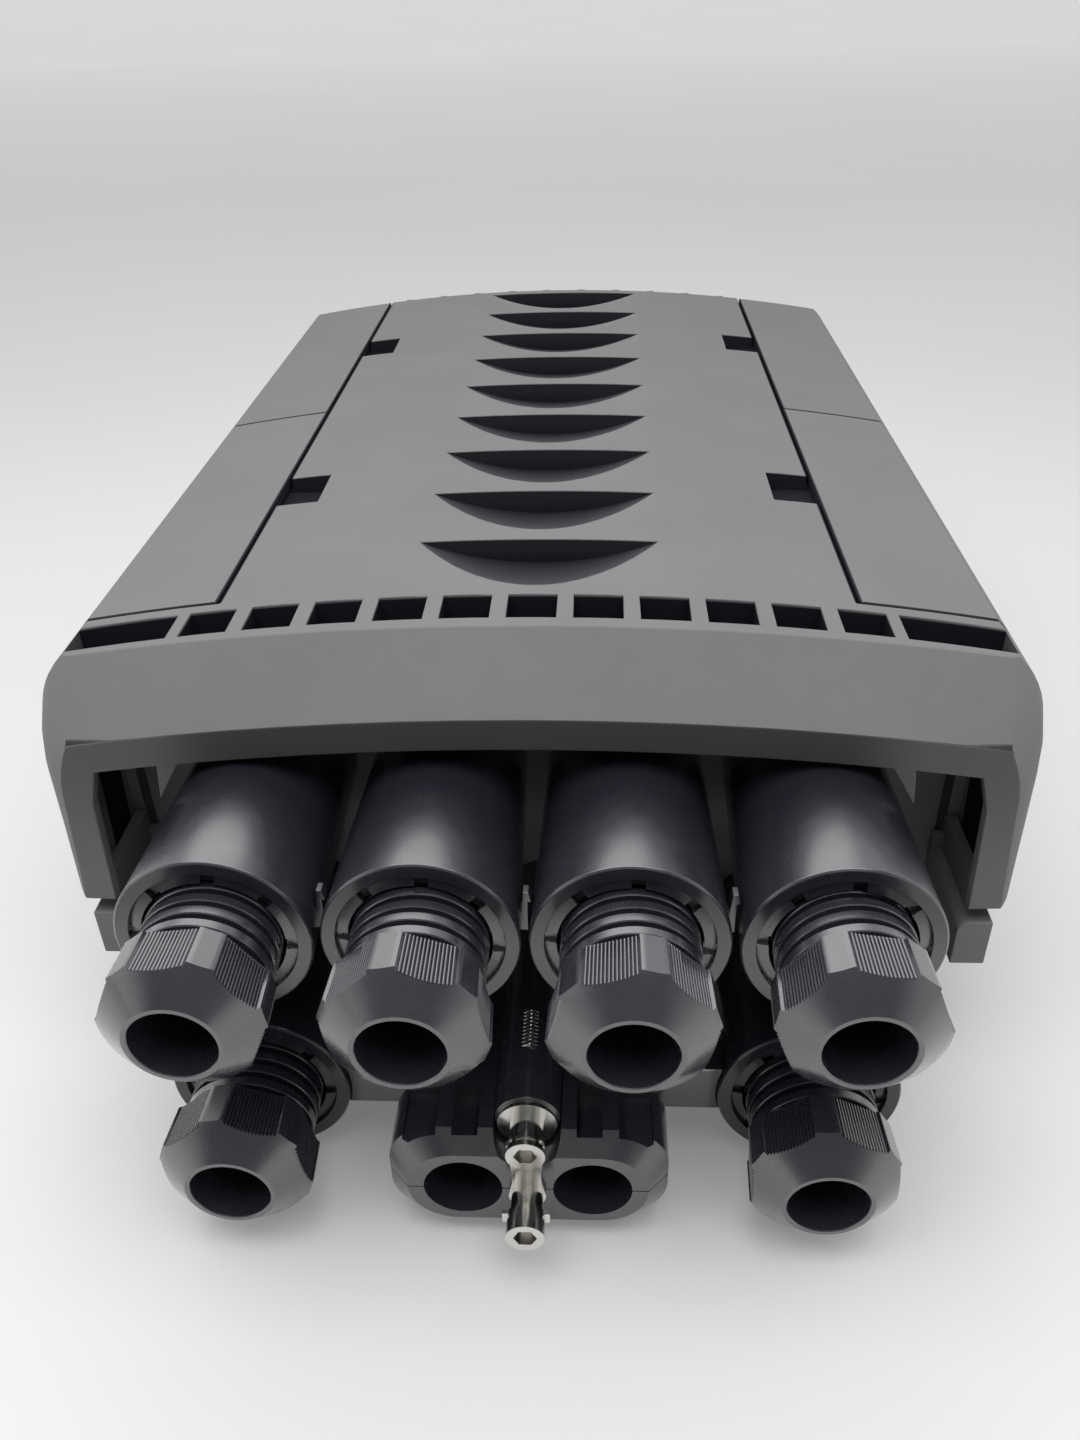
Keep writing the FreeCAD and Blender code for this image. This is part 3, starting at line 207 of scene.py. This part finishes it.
def hood_shade(graph):
    """Painted shade in the hood's recesses: louvres, windows, pry pockets, seams, the beam and the visor's
    inside.
    """
    side, y, z, ahead = place_parts(graph)
    square = graph.math("SUBTRACT", ARCH_RADIUS ** 2, graph.product(side, side))
    arch = graph.total(graph.math("SQRT", square, 0.0), ARCH_AXIS)
    depth = graph.math("SUBTRACT", arch, z)

    # painted shade in the louvres, with dark walls and floors that lighten towards their front, and in the pry
    # pockets beside them
    ramp = graph.inverse(graph.math("DIVIDE", depth, LOUVRE_DEPTH, True))
    floor = graph.math("SUBTRACT", LOUVRE_FLOOR, graph.product(ramp, ramp, LOUVRE_FADE))
    louvre = graph.most(floor, graph.product(graph.step(ahead, *LOUVRE_FACING), LOUVRE_WALL))
    outside = graph.step(side, LOUVRE_HALF, LOUVRE_HALF + 0.5 * MM)
    recess = graph.total(graph.product(louvre, graph.inverse(outside)), graph.product(outside, POCKET))
    strip = graph.product(graph.within(y, ROOF_START, ROOF_END, SHARP), graph.below(side, ROOF_HALF, SHARP))
    roof = graph.product(graph.step(depth, 0.15 * MM, 0.5 * MM), recess, strip)

    # painted shade inside the row of windows
    row = graph.within(y, WINDOW_START, WINDOW_END, SHARP)
    row = graph.product(row, graph.below(side, WINDOW_HALF, SHARP))
    windows = graph.product(graph.step(depth, 0.5 * MM, 1.0 * MM), row, WINDOW)

    # painted shade on the front faces below the bumper: light at the legs' feet, darker upwards and in the middle
    face = graph.step(depth, BEAM_DEPTH, BEAM_DEPTH + 0.5 * MM)
    face = graph.product(face, graph.step(ahead, *BEAM_FACING), graph.below(y, BEAM_END, 0.6 * MM))
    upper = graph.product(graph.step(z, *BEAM_RISE), BEAM_UPPER)
    middle = graph.product(graph.inverse(graph.step(side, *BEAM_SIDES)), BEAM_MIDDLE)
    beam = graph.product(face, graph.total(upper, middle, BEAM))

    # painted shade on the inside of the visor
    inside = graph.within(y, VISOR_START, VISOR_END, 0.4 * MM)
    inside = graph.product(inside, graph.below(side, VISOR_HALF, 0.4 * MM))
    visor = graph.product(graph.step(depth, VISOR_DEPTH, VISOR_DEPTH + 1.0 * MM), inside, VISOR)

    # painted shade along the roof's edges beside the clasps
    seam = graph.within(side, CLASP_INNER - 1.7 * MM, CLASP_INNER + 1.0 * MM, 0.3 * MM)
    seam = graph.product(seam, graph.within(y, CLASP_FRONT - 0.4 * MM, ROOF_END, SHARP), SEAM)
    return graph.most(roof, windows, seam, beam, visor)


# painted shade on the base under the hood: where, in metres, and how dark, from 0 to 1
TUB_START, TUB_END, TUB_HALF = -0.1443, -0.106, 0.1258
TUB_RISE = (0.046, 0.056)
TUB = 0.3


def tub_shade(graph):
    """Painted shade on the base's rails, lips and bulkhead in the shelter of the hood."""
    side, y, z, _ = place_parts(graph)
    front = graph.within(y, TUB_START, TUB_END, 1.2 * MM)
    return graph.product(front, graph.below(side, TUB_HALF, 0.3 * MM), graph.step(z, *TUB_RISE), TUB)


# how dark the painted shade in the clasps' seams is, from 0 to 1
CLASP, CLASP_GAP = 0.92, 0.8


def clasp_shade(graph):
    """Painted shade in the seams round the clasps: along their inner, front and facing edges."""
    side, y, _, _ = place_parts(graph)
    inner = graph.below(side, CLASP_INNER + 0.9 * MM, 0.5 * MM)
    front = graph.below(y, CLASP_FRONT + 1.1 * MM, 0.5 * MM)
    split = graph.within(y, CLASP_SPLIT - 0.9 * MM, CLASP_SPLIT + 0.9 * MM, 0.4 * MM)
    return graph.product(graph.most(inner, front, graph.product(split, CLASP_GAP)), CLASP)


# painted shade of the ports and collars: where, in metres, and how dark, from 0 to 1
LOW_PORT_SIDE, LOW_PORT_TOP = (0.046, 0.049), 0.054
HIGH_ROW = (0.052, 0.056)
NUT_BACK = (-0.1945, -0.192)
RIM_START, RIM_END = -0.1885, -0.178
RIM_FACING, RIM_RISE = (0.8, 0.95), (0.08, 0.1)
TUBE_FADE = (-0.181, -0.148)
LOW_PORT, RIM, RIM_TOP, TUBE = 0.6, 0.2, 0.35, 0.7
COLLAR_RISE = (0.084, 0.1)
LOW_COLLAR, COLLAR_TOP = 0.75, 0.85


def low_ports(graph, side, z):
    """1 at the two round ports beside the oval one."""
    return graph.product(graph.step(side, *LOW_PORT_SIDE), graph.below(z, LOW_PORT_TOP, 4 * MM))


def port_shade(graph):
    """Painted shade on the ports behind the nuts: rims, the tubes under the hood, and all of the two low ports.
    """
    side, y, z, ahead = place_parts(graph)
    low = graph.product(graph.step(y, *NUT_BACK), low_ports(graph, side, z), LOW_PORT)
    high = graph.step(z, *HIGH_ROW)
    face = graph.product(graph.step(ahead, *RIM_FACING), graph.within(y, RIM_START, RIM_END, 0.5 * MM))
    rim = graph.product(face, graph.total(graph.product(graph.step(z, *RIM_RISE), RIM_TOP), RIM), high)
    tube = graph.product(graph.step(y, *TUBE_FADE), high, TUBE)
    return graph.most(low, rim, tube)


def collar_shade(graph):
    """Painted shade on the collars: only their tops and the low ports."""
    side, _, z, _ = place_parts(graph)
    low = graph.product(low_ports(graph, side, z), LOW_COLLAR)
    return graph.most(low, graph.product(graph.step(z, *COLLAR_RISE), COLLAR_TOP))


# scales of the noises, in waves per metre
CLOUDS, STREAKS = 28, 160
STAINS, TURNING_MARKS = 90, 1800
HAZE = 60
SPOTS = 3


def moulded(name, color, rough, grain, depth, cloud=0.1, sheen=0.5, shade=None, coat=0.0, index=1.5):
    """Moulded plastic: clouds of tone, an eroded grain (its size and depth in mm) and painted shade in its
    recesses, which also dims the sheen there.
    """
    material, graph = new_material(name)
    place = graph.add("ShaderNodeTexCoord").outputs["Object"]
    clouds = graph.noise(place, CLOUDS, 3)
    fine = graph.noise(place, 1 / (grain * MM), 2, 0.6)
    streaks = graph.noise(place, STREAKS, 4)
    tone = graph.total(graph.product(clouds, 0.7), graph.product(streaks, 0.3))
    paint = graph.tones(tone, shaded(color, 1 - cloud), shaded(color, 1 + cloud))
    # painted shade: the shade mask mixes in a dark colour and takes away sheen
    if shade:
        dark = shade(graph)
        paint = graph.mix(dark, paint, (*PAINTED_SHADE_COLOR, 1))
        sheen = graph.product(graph.inverse(dark), sheen)
    gloss = graph.total(graph.spread(fine, -0.04, 0.04), graph.spread(streaks, rough - 0.03, rough + 0.03))
    bump = graph.add("ShaderNodeBump", {"Strength": 1.0, "Distance": depth * MM, "Height": fine})
    shader = graph.add(
        "ShaderNodeBsdfPrincipled",
        {
            "Base Color": paint,
            "Roughness": gloss,
            "Normal": bump.outputs["Normal"],
            "IOR": index,
            "Specular IOR Level": sheen,
            "Coat Weight": coat,
            "Coat Roughness": 0.15,
        },
    )
    graph.add("ShaderNodeOutputMaterial", {"Surface": shader.outputs["BSDF"]})
    return material


def plated(name, color, rough):
    """Bright metal plate with faint turning marks and stains."""
    material, graph = new_material(name)
    place = graph.add("ShaderNodeTexCoord").outputs["Object"]
    stains = graph.noise(place, STAINS, 3)
    fine = graph.noise(place, TURNING_MARKS, 2)
    paint = graph.tones(stains, shaded(color, 0.93), color)
    gloss = graph.total(graph.spread(stains, rough, rough + 0.08), graph.spread(fine, -0.02, 0.02))
    bump = graph.add("ShaderNodeBump", {"Strength": 1.0, "Distance": 0.006 * MM, "Height": fine})
    shader = graph.add(
        "ShaderNodeBsdfPrincipled",
        {"Base Color": paint, "Metallic": 1.0, "Roughness": gloss, "Normal": bump.outputs["Normal"]},
    )
    graph.add("ShaderNodeOutputMaterial", {"Surface": shader.outputs["BSDF"]})
    return material


def clear_sheet(name):
    """Clear plastic with a faint haze."""
    material, graph = new_material(name)
    place = graph.add("ShaderNodeTexCoord").outputs["Object"]
    haze = graph.noise(place, HAZE, 3)
    gloss = graph.spread(haze, 0.05, 0.16)
    paint = graph.tones(haze, (0.86, 0.88, 0.9), (0.93, 0.95, 0.96))
    shader = graph.add(
        "ShaderNodeBsdfPrincipled",
        {"Base Color": paint, "Roughness": gloss, "Transmission Weight": 1.0, "IOR": 1.49},
    )
    graph.add("ShaderNodeOutputMaterial", {"Surface": shader.outputs["BSDF"]})
    return material


CHARCOAL = {
    "color": (0.18, 0.18, 0.184), "rough": 0.65, "grain": 0.45, "depth": 0.012, "cloud": 0.05, "sheen": 0.15,
}
SATIN = {"grain": 0.35, "sheen": 1.0, "index": 1.62}
GLAND = (0.022, 0.0235, 0.0305)
COLLAR = (0.045, 0.0465, 0.053)
SLOTS = {
    "housing": moulded("charcoal_moulding", **CHARCOAL),
    "gland": moulded("gland_plastic", GLAND, 0.23, depth=0.003, shade=port_shade, coat=0.35, **SATIN),
    "plated": plated("nickel_plate", (0.74, 0.73, 0.69), 0.14),
    "seal": moulded("black_rubber", (0.018, 0.018, 0.019), 0.75, grain=0.6, depth=0.015),
    "steel": plated("satin_steel", (0.56, 0.56, 0.56), 0.3),
    "tray": moulded("tray_plastic", (0.55, 0.56, 0.57), 0.45, grain=0.4, depth=0.008, cloud=0.04),
    "lid": clear_sheet("clear_lid"),
}
CLASPS = moulded("clasp_moulding", shade=clasp_shade, **CHARCOAL)
COLLARS = moulded("collar_plastic", COLLAR, 0.27, depth=0.0015, shade=collar_shade, coat=0.35, **SATIN)
NUTS = moulded("nut_plastic", GLAND, 0.25, depth=0.0015, shade=port_shade, coat=0.7, **SATIN)
# nodes that differ from the rest of their slot
OWN = {
    "cover_shell": moulded("hood_moulding", shade=hood_shade, **CHARCOAL),
    "base_shell": moulded("tub_moulding", shade=tub_shade, **CHARCOAL),
}
OWN.update({f"clasp_{place}_{side}": CLASPS for place in ("front", "rear") for side in ("left", "right")})
OWN.update({f"port_collar_{index}": COLLARS for index in range(1, 7)})

# outer edges are rounded, in millimetres by slot, apart from short ones and the crowded rib ends on the rear
# wall, which would fold over
EDGE_ROUND = {"housing": 0.35, "gland": 0.15, "plated": 0.1, "seal": 0.15, "steel": 0.1, "tray": 0.2}
SHORT_EDGE = 0.8 * MM
RIBS_START = 0.2088
JOIN_GAP = 0.002 * MM
SMOOTH_BELOW = math.radians(28)
ROUND_ABOVE = math.radians(35)


def smooth_edges():
    """Modifier group: joins split corners, shades smooth apart from folds and marks the edges to round."""
    tree = bpy.data.node_groups.new("joined_corners", "GeometryNodeTree")
    tree.interface.new_socket("Geometry", in_out="INPUT", socket_type="NodeSocketGeometry")
    tree.interface.new_socket("Geometry", in_out="OUTPUT", socket_type="NodeSocketGeometry")
    graph = Graph(tree)
    start = graph.add("NodeGroupInput").outputs[0]
    plain = graph.add("GeometryNodeRemoveAttribute", {"Geometry": start, "Name": "custom_normal"}).outputs[0]
    merged = graph.add("GeometryNodeMergeByDistance", {"Geometry": plain, "Distance": JOIN_GAP}).outputs[0]
    angle = graph.add("GeometryNodeInputMeshEdgeAngle").outputs
    soft = graph.compare(angle["Unsigned Angle"], "LESS_THAN", SMOOTH_BELOW)
    faces = graph.add("GeometryNodeSetShadeSmooth", {"Geometry": merged, "Shade Smooth": True}).outputs[0]
    edges = graph.add("GeometryNodeSetShadeSmooth", {"Geometry": faces, "Shade Smooth": soft}, domain="EDGE")
    fold = graph.compare(angle["Signed Angle"], "GREATER_THAN", ROUND_ABOVE)
    ends = graph.add("GeometryNodeInputMeshEdgeVertices").outputs
    span = graph.add("ShaderNodeVectorMath", {0: ends[2], 1: ends[3]}, operation="DISTANCE").outputs["Value"]
    roomy = graph.compare(span, "GREATER_THAN", SHORT_EDGE)
    along = graph.add("ShaderNodeSeparateXYZ", {0: ends[2]}).outputs["Y"]
    weight = graph.product(fold, roomy, graph.compare(along, "LESS_THAN", RIBS_START))
    rounded = graph.add(
        "GeometryNodeStoreNamedAttribute",
        {"Geometry": edges.outputs[0], "Name": "bevel_weight_edge", "Value": weight},
        data_type="FLOAT",
        domain="EDGE",
    )
    graph.add("NodeGroupOutput", {0: rounded.outputs[0]})
    return tree


JOINED = smooth_edges()


def join_corners(piece):
    joined = piece.modifiers.new("joined", "NODES")
    joined.node_group = JOINED


def round_edges(piece, width):
    edges = piece.modifiers.new("edges", "BEVEL")
    edges.width = width * MM
    edges.segments = 2
    return edges


def dress_nodes():
    """Materials, smooth shading and rounded edges on the CAD nodes."""
    for row in frame["record"]["subparts"]:
        node = NODES[row["node"]]
        slot = row["material_slot"]
        for index in range(len(node.material_slots)):
            node.material_slots[index].material = OWN.get(row["node"], SLOTS[slot])
        join_corners(node)
        if slot in EDGE_ROUND and "oval_clamp" not in row["node"]:
            edges = round_edges(node, EDGE_ROUND[slot])
            edges.limit_method = "WEIGHT"
            edges.use_clamp_overlap = False
            edges.harden_normals = True


# gland nut, in millimetres: radius from its axis, depth behind its front face
NUT_BORE = 10.0
BORE_EDGE_WIDTH, BORE_EDGE_DEPTH = 0.2, 0.25
LIP_OUTER = 11.3
CONE = [
    (11.3, 0.0), (13.0, 1.3), (15.0, 2.9), (17.0, 4.5), (18.0, 5.3), (19.0, 6.2), (19.5, 6.7), (20.0, 7.4),
]
CONE_STEPS = 8
FLAT, FLAT_HALF = 17.7, 6.3
PAD, PAD_HALF, PAD_EDGE = 19.6, 3.2, 0.12
RIBS, RIB_HEIGHT, RIB_CROWN = 14, 0.4, 0.06
HEAD_LENGTH, HEAD_EDGE = 18.4, 0.5
DRAFT = 0.9
NUT_LENGTH, NUT_EDGE = 56.7, 1.0
THREAD_ROOT = 14.5
PITCH = 4.2
THREAD_SHOWN = 46.0
# one ridge of the thread: share of the pitch, radius
RIDGE = [(0.0, 16.4), (0.06, 16.65), (0.56, 16.65), (0.62, 16.4), (0.67, 14.5), (0.95, 14.5)]
# how far each nut is turned, in degrees
NUT_TURNS = [-7, 19.5, -16.6, 8.8, 20, 26.7]


def cone_depth(radius):
    for (r0, y0), (r1, y1) in zip(CONE, CONE[1:]):
        if radius <= r1:
            return y0 + (y1 - y0) * (radius - r0) / (r1 - r0)
    return CONE[-1][1]


def nut_corners():
    """One turn of the head's outline as (angle, radius): proud pads and ribbed flats between them."""
    sector = math.pi / 3
    points = []
    for side in range(6):
        middle = side * sector
        for share in (-1, -0.9, -0.6, -0.3, 0, 0.3, 0.6, 0.9, 1):
            across = share * PAD_HALF
            out = PAD - PAD_EDGE if abs(share) == 1 else PAD
            points.append((middle + math.atan2(across, out), math.hypot(out, across)))
        middle += sector / 2
        for step in range(-2 * RIBS, 2 * RIBS + 1):
            across = FLAT_HALF * step / (2 * RIBS)
            out = FLAT + (RIB_HEIGHT if step % 4 and abs(step) < 2 * RIBS else 0)
            if step % 4 == 2:
                out += RIB_CROWN
            points.append((middle + math.atan2(across, out), math.hypot(out, across)))
    return points


def thread_rows(angle, ridge, pitch, start, end):
    """Corners of a screw thread along one side; each row climbs one pitch in a turn."""
    root = min(radius for _, radius in ridge)
    rows = []
    for turn in range(int(start / pitch) - 1, math.ceil(end / pitch) + 2):
        for share, radius in ridge:
            depth = pitch * (turn + share - angle / (2 * math.pi))
            if start <= depth <= end:
                rows.append((radius, depth))
            else:
                rows.append((root, min(max(depth, start), end)))
    return rows


def nut_column(angle, corner):
    """Profile of the nut at one angle, once round from the bore's rear through the front and back."""
    edge = corner
    for _ in range(20):
        edge = corner - DRAFT * cone_depth(edge) / HEAD_LENGTH
    depth = cone_depth(edge)
    back = corner - DRAFT
    rows = [(NUT_BORE, NUT_LENGTH), (NUT_BORE, HEAD_LENGTH), (NUT_BORE, BORE_EDGE_DEPTH)]
    rows += [(NUT_BORE + BORE_EDGE_WIDTH, 0.0), (LIP_OUTER, 0.0)]
    for step in range(1, CONE_STEPS + 1):
        radius = LIP_OUTER + (edge - LIP_OUTER) * step / CONE_STEPS
        rows.append((radius, cone_depth(radius)))
    for share in (0.03, 0.5, 0.96):
        rows.append((edge + (back - edge) * share, depth + (HEAD_LENGTH - depth) * share))
    rows.append((back - HEAD_EDGE, HEAD_LENGTH))
    rows += thread_rows(angle, RIDGE, PITCH, HEAD_LENGTH, THREAD_SHOWN)
    rows += [(THREAD_ROOT, NUT_LENGTH - NUT_EDGE), (THREAD_ROOT - NUT_EDGE, NUT_LENGTH)]
    return rows


def add_mesh(name, points, faces, material):
    mesh = bpy.data.meshes.new(name)
    mesh.from_pydata(points, [], faces)
    mesh.materials.append(material)
    mesh.validate()
    piece = bpy.data.objects.new(name, mesh)
    bpy.context.scene.collection.objects.link(piece)
    return piece


def add_screw(name, columns, axis, front, material):
    """Mesh of (angle, profile) columns about an axis along Y; its last column closes on its first."""
    rows = len(columns[0][1])
    points = []
    for angle, profile in columns:
        for radius, depth in profile:
            x = axis.x + radius * MM * math.cos(angle)
            z = axis.z + radius * MM * math.sin(angle)
            points.append((x, front + depth * MM, z))
    faces = []
    for here in range(0, len(points) - rows, rows):
        for row in range(rows):
            then = (row + 1) % rows
            faces.append((here + row, here + then, here + rows + then, here + rows + row))
    piece = add_mesh(name, points, faces, material)
    join_corners(piece)
    return piece


def add_nuts():
    """Detailed nuts on the plain ones' axes, turned as they are."""
    corners = nut_corners()
    corners.append((corners[0][0] + 2 * math.pi, corners[0][1]))
    for index, turn in enumerate(NUT_TURNS, start=1):
        columns = [(angle - math.radians(turn), nut_column(angle, corner)) for angle, corner in corners]
        low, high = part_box(f"thrust_ring_{index}")
        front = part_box(f"gland_nut_{index}")[0].y
        piece = add_screw(f"gland_nut_detail_{index}", columns, (low + high) / 2, front, NUTS)
        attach(piece, f"gland_{index}_nut")
        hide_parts(f"gland_nut_{index}")


# screw thread that shows along the top of the boss, in millimetres, and its front end in metres
STUD_RIDGE = [(0.0, 2.95), (0.12, 3.0), (0.24, 2.95), (0.5, 2.2), (0.74, 2.2)]
STUD_PITCH = 1.25
STUD_LENGTH = 12.5
STUD_STEPS = 48
STUD_AT = Vector((0.0, -0.1832, 0.0431))


def add_stud_thread():
    columns = []
    for step in range(STUD_STEPS + 1):
        angle = 2 * math.pi * step / STUD_STEPS
        rows = thread_rows(angle, STUD_RIDGE, STUD_PITCH, 0.0, STUD_LENGTH)
        columns.append((angle, [(0.0, 0.0), *rows, (0.0, STUD_LENGTH)]))
    piece = add_screw("stud_thread", columns, STUD_AT, STUD_AT.y, SLOTS["plated"])
    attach(piece, "housing")


# web between the oval port and each low round port, in millimetres
WEB_INNER = 31.0
WEB_LOW, WEB_HIGH = 18.0, 33.0
WEB_FRONT, WEB_BACK = -179.0, -164.0
WEB_EDGE = 0.6
WEB_STEPS = 8
LOW_SLEEVE = 24.0


def add_webs():
    """Flat webs whose outer end follows the round sleeve."""
    for index, sign in ((5, -1), (6, 1)):
        low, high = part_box(f"thrust_ring_{index}")
        middle = (low + high) / 2 / MM
        outline = [(WEB_INNER, WEB_LOW), (WEB_INNER, WEB_HIGH)]
        for step in range(WEB_STEPS + 1):
            z = WEB_HIGH + (WEB_LOW - WEB_HIGH) * step / WEB_STEPS
            outline.append((abs(middle.x) - math.sqrt(LOW_SLEEVE ** 2 - (z - middle.z) ** 2), z))
        count = len(outline)
        points = [(sign * x * MM, y * MM, z * MM) for y in (WEB_FRONT, WEB_BACK) for x, z in outline]
        faces = [tuple(range(count)), tuple(range(2 * count - 1, count - 1, -1))]
        for here in range(count):
            then = (here + 1) % count
            faces.append((then, here, here + count, then + count))
        if sign < 0:
            faces = [face[::-1] for face in faces]
        piece = add_mesh(f"port_web_{index}", points, faces, SLOTS["gland"])
        round_edges(piece, WEB_EDGE)
        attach(piece, "housing")


# round sheet of paper, in metres, and its tone by the place along Y, as painted shade and light: darker behind
# the object up to 1.3 m, lighter far off
FLOOR_RADIUS = 14.0
FLOOR_SIDES = 64
FLOOR_FADE = [(-1.0, 0.8), (0.1, 0.8), (0.55, 0.76), (1.3, 0.73), (4.0, 0.94), (9.0, 0.95)]
# share of plain white in what the camera sees of it, straight, mirrored or through the clear lid
FLOOR_WHITE = 0.2
WHITE = (0.76, 0.755, 0.755, 1)


def add_floor():
    points = [(0, 0, 0)]
    for step in range(FLOOR_SIDES):
        angle = 2 * math.pi * step / FLOOR_SIDES
        points.append((FLOOR_RADIUS * math.cos(angle), FLOOR_RADIUS * math.sin(angle), 0))
    faces = [(0, step + 1, (step + 1) % FLOOR_SIDES + 1) for step in range(FLOOR_SIDES)]
    material, graph = new_material("paper")
    place = graph.add("ShaderNodeTexCoord").outputs["Object"]
    far = graph.add("ShaderNodeSeparateXYZ", {0: place}).outputs["Y"]
    start = FLOOR_FADE[0][0]
    length = FLOOR_FADE[-1][0] - start
    fade = graph.add("ShaderNodeValToRGB", {"Fac": graph.math("DIVIDE", graph.total(far, -start), length)})
    stops = fade.color_ramp.elements
    for at, _ in FLOOR_FADE[1:-1]:
        stops.new((at - start) / length)
    for stop, (_, tone) in zip(stops, FLOOR_FADE):
        stop.color = (tone, tone, tone, 1)
    shift = graph.tones(graph.noise(place, SPOTS, 2), (0.985, 0.98, 0.98), (1.0, 1.0, 1.0))
    paint = graph.mix(1.0, fade.outputs["Color"], shift, "MULTIPLY")
    shader = graph.add(
        "ShaderNodeBsdfPrincipled", {"Base Color": paint, "Roughness": 0.9, "Specular IOR Level": 0.1}
    )
    path = graph.add("ShaderNodeLightPath").outputs
    seen = graph.most(path["Is Camera Ray"], path["Is Glossy Ray"], path["Is Transmission Ray"])
    white = graph.add("ShaderNodeEmission", {"Color": WHITE, "Strength": 1.0})
    share = graph.product(seen, FLOOR_WHITE)
    paper = graph.add("ShaderNodeMixShader", {0: share, 1: shader.outputs[0], 2: white.outputs[0]})
    graph.add("ShaderNodeOutputMaterial", {"Surface": paper.outputs[0]})
    floor = add_mesh("floor", points, faces, material)


def add_light(name, place, aim, size, power):
    data = bpy.data.lights.new(name, "AREA")
    data.shape = "RECTANGLE"
    data.size, data.size_y = size
    data.energy = power
    lamp = bpy.data.objects.new(name, data)
    lamp.location = place
    lamp.rotation_euler = (Vector(aim) - Vector(place)).to_track_quat("-Z", "Y").to_euler()
    bpy.context.scene.collection.objects.link(lamp)


# light of the room by direction: a level in front, rises along Y (from, to, gain), side walls (way along X, gain)
# and a soft box
FRONT_LEVEL = 0.17
RISES = ((-0.8, 0.0, 0.18), (0.05, 0.55, 0.5))
SIDE_WALLS = ((-1.0, 0.75), (1.0, 0.5))
WALL_FADE = (0.5, 0.95)
SOFT_BOX = Vector((-0.12, 0.7, 0.7)).normalized()
BOX_FADE = (0.87, 0.985)
BOX_GAIN = 1.25


def add_world():
    """Pale room, darker to the front and right, with a bright back wall and a soft box high at the back."""
    world = bpy.data.worlds.new("studio")
    bpy.context.scene.world = world
    world.use_nodes = True
    graph = Graph(world.node_tree)
    ways = graph.add("ShaderNodeTexCoord").outputs["Generated"]
    parts = graph.add("ShaderNodeSeparateXYZ", {0: ways})
    level = FRONT_LEVEL
    for low, high, gain in RISES:
        level = graph.total(level, graph.product(graph.step(parts.outputs["Y"], low, high), gain))
    for way, gain in SIDE_WALLS:
        side = graph.step(graph.product(parts.outputs["X"], way), *WALL_FADE)
        level = graph.total(level, graph.product(side, gain))
    toward = graph.add("ShaderNodeVectorMath", {0: ways, 1: SOFT_BOX}, operation="DOT_PRODUCT")
    box = graph.step(toward.outputs["Value"], *BOX_FADE)
    level = graph.total(level, graph.product(box, BOX_GAIN))
    ambient = graph.add("ShaderNodeBackground", {"Color": (1, 1, 1, 1), "Strength": level})
    graph.add("ShaderNodeOutputWorld", {"Surface": ambient.outputs[0]})


add_camera()
dress_nodes()
add_nuts()
add_stud_thread()
add_webs()
add_floor()
add_light("overhead", place=(-0.02, -0.3, 0.76), aim=(0.0, -0.12, 0.0), size=(0.9, 0.5), power=5.0)
add_world()

bpy.context.scene.view_settings.view_transform = "Standard"
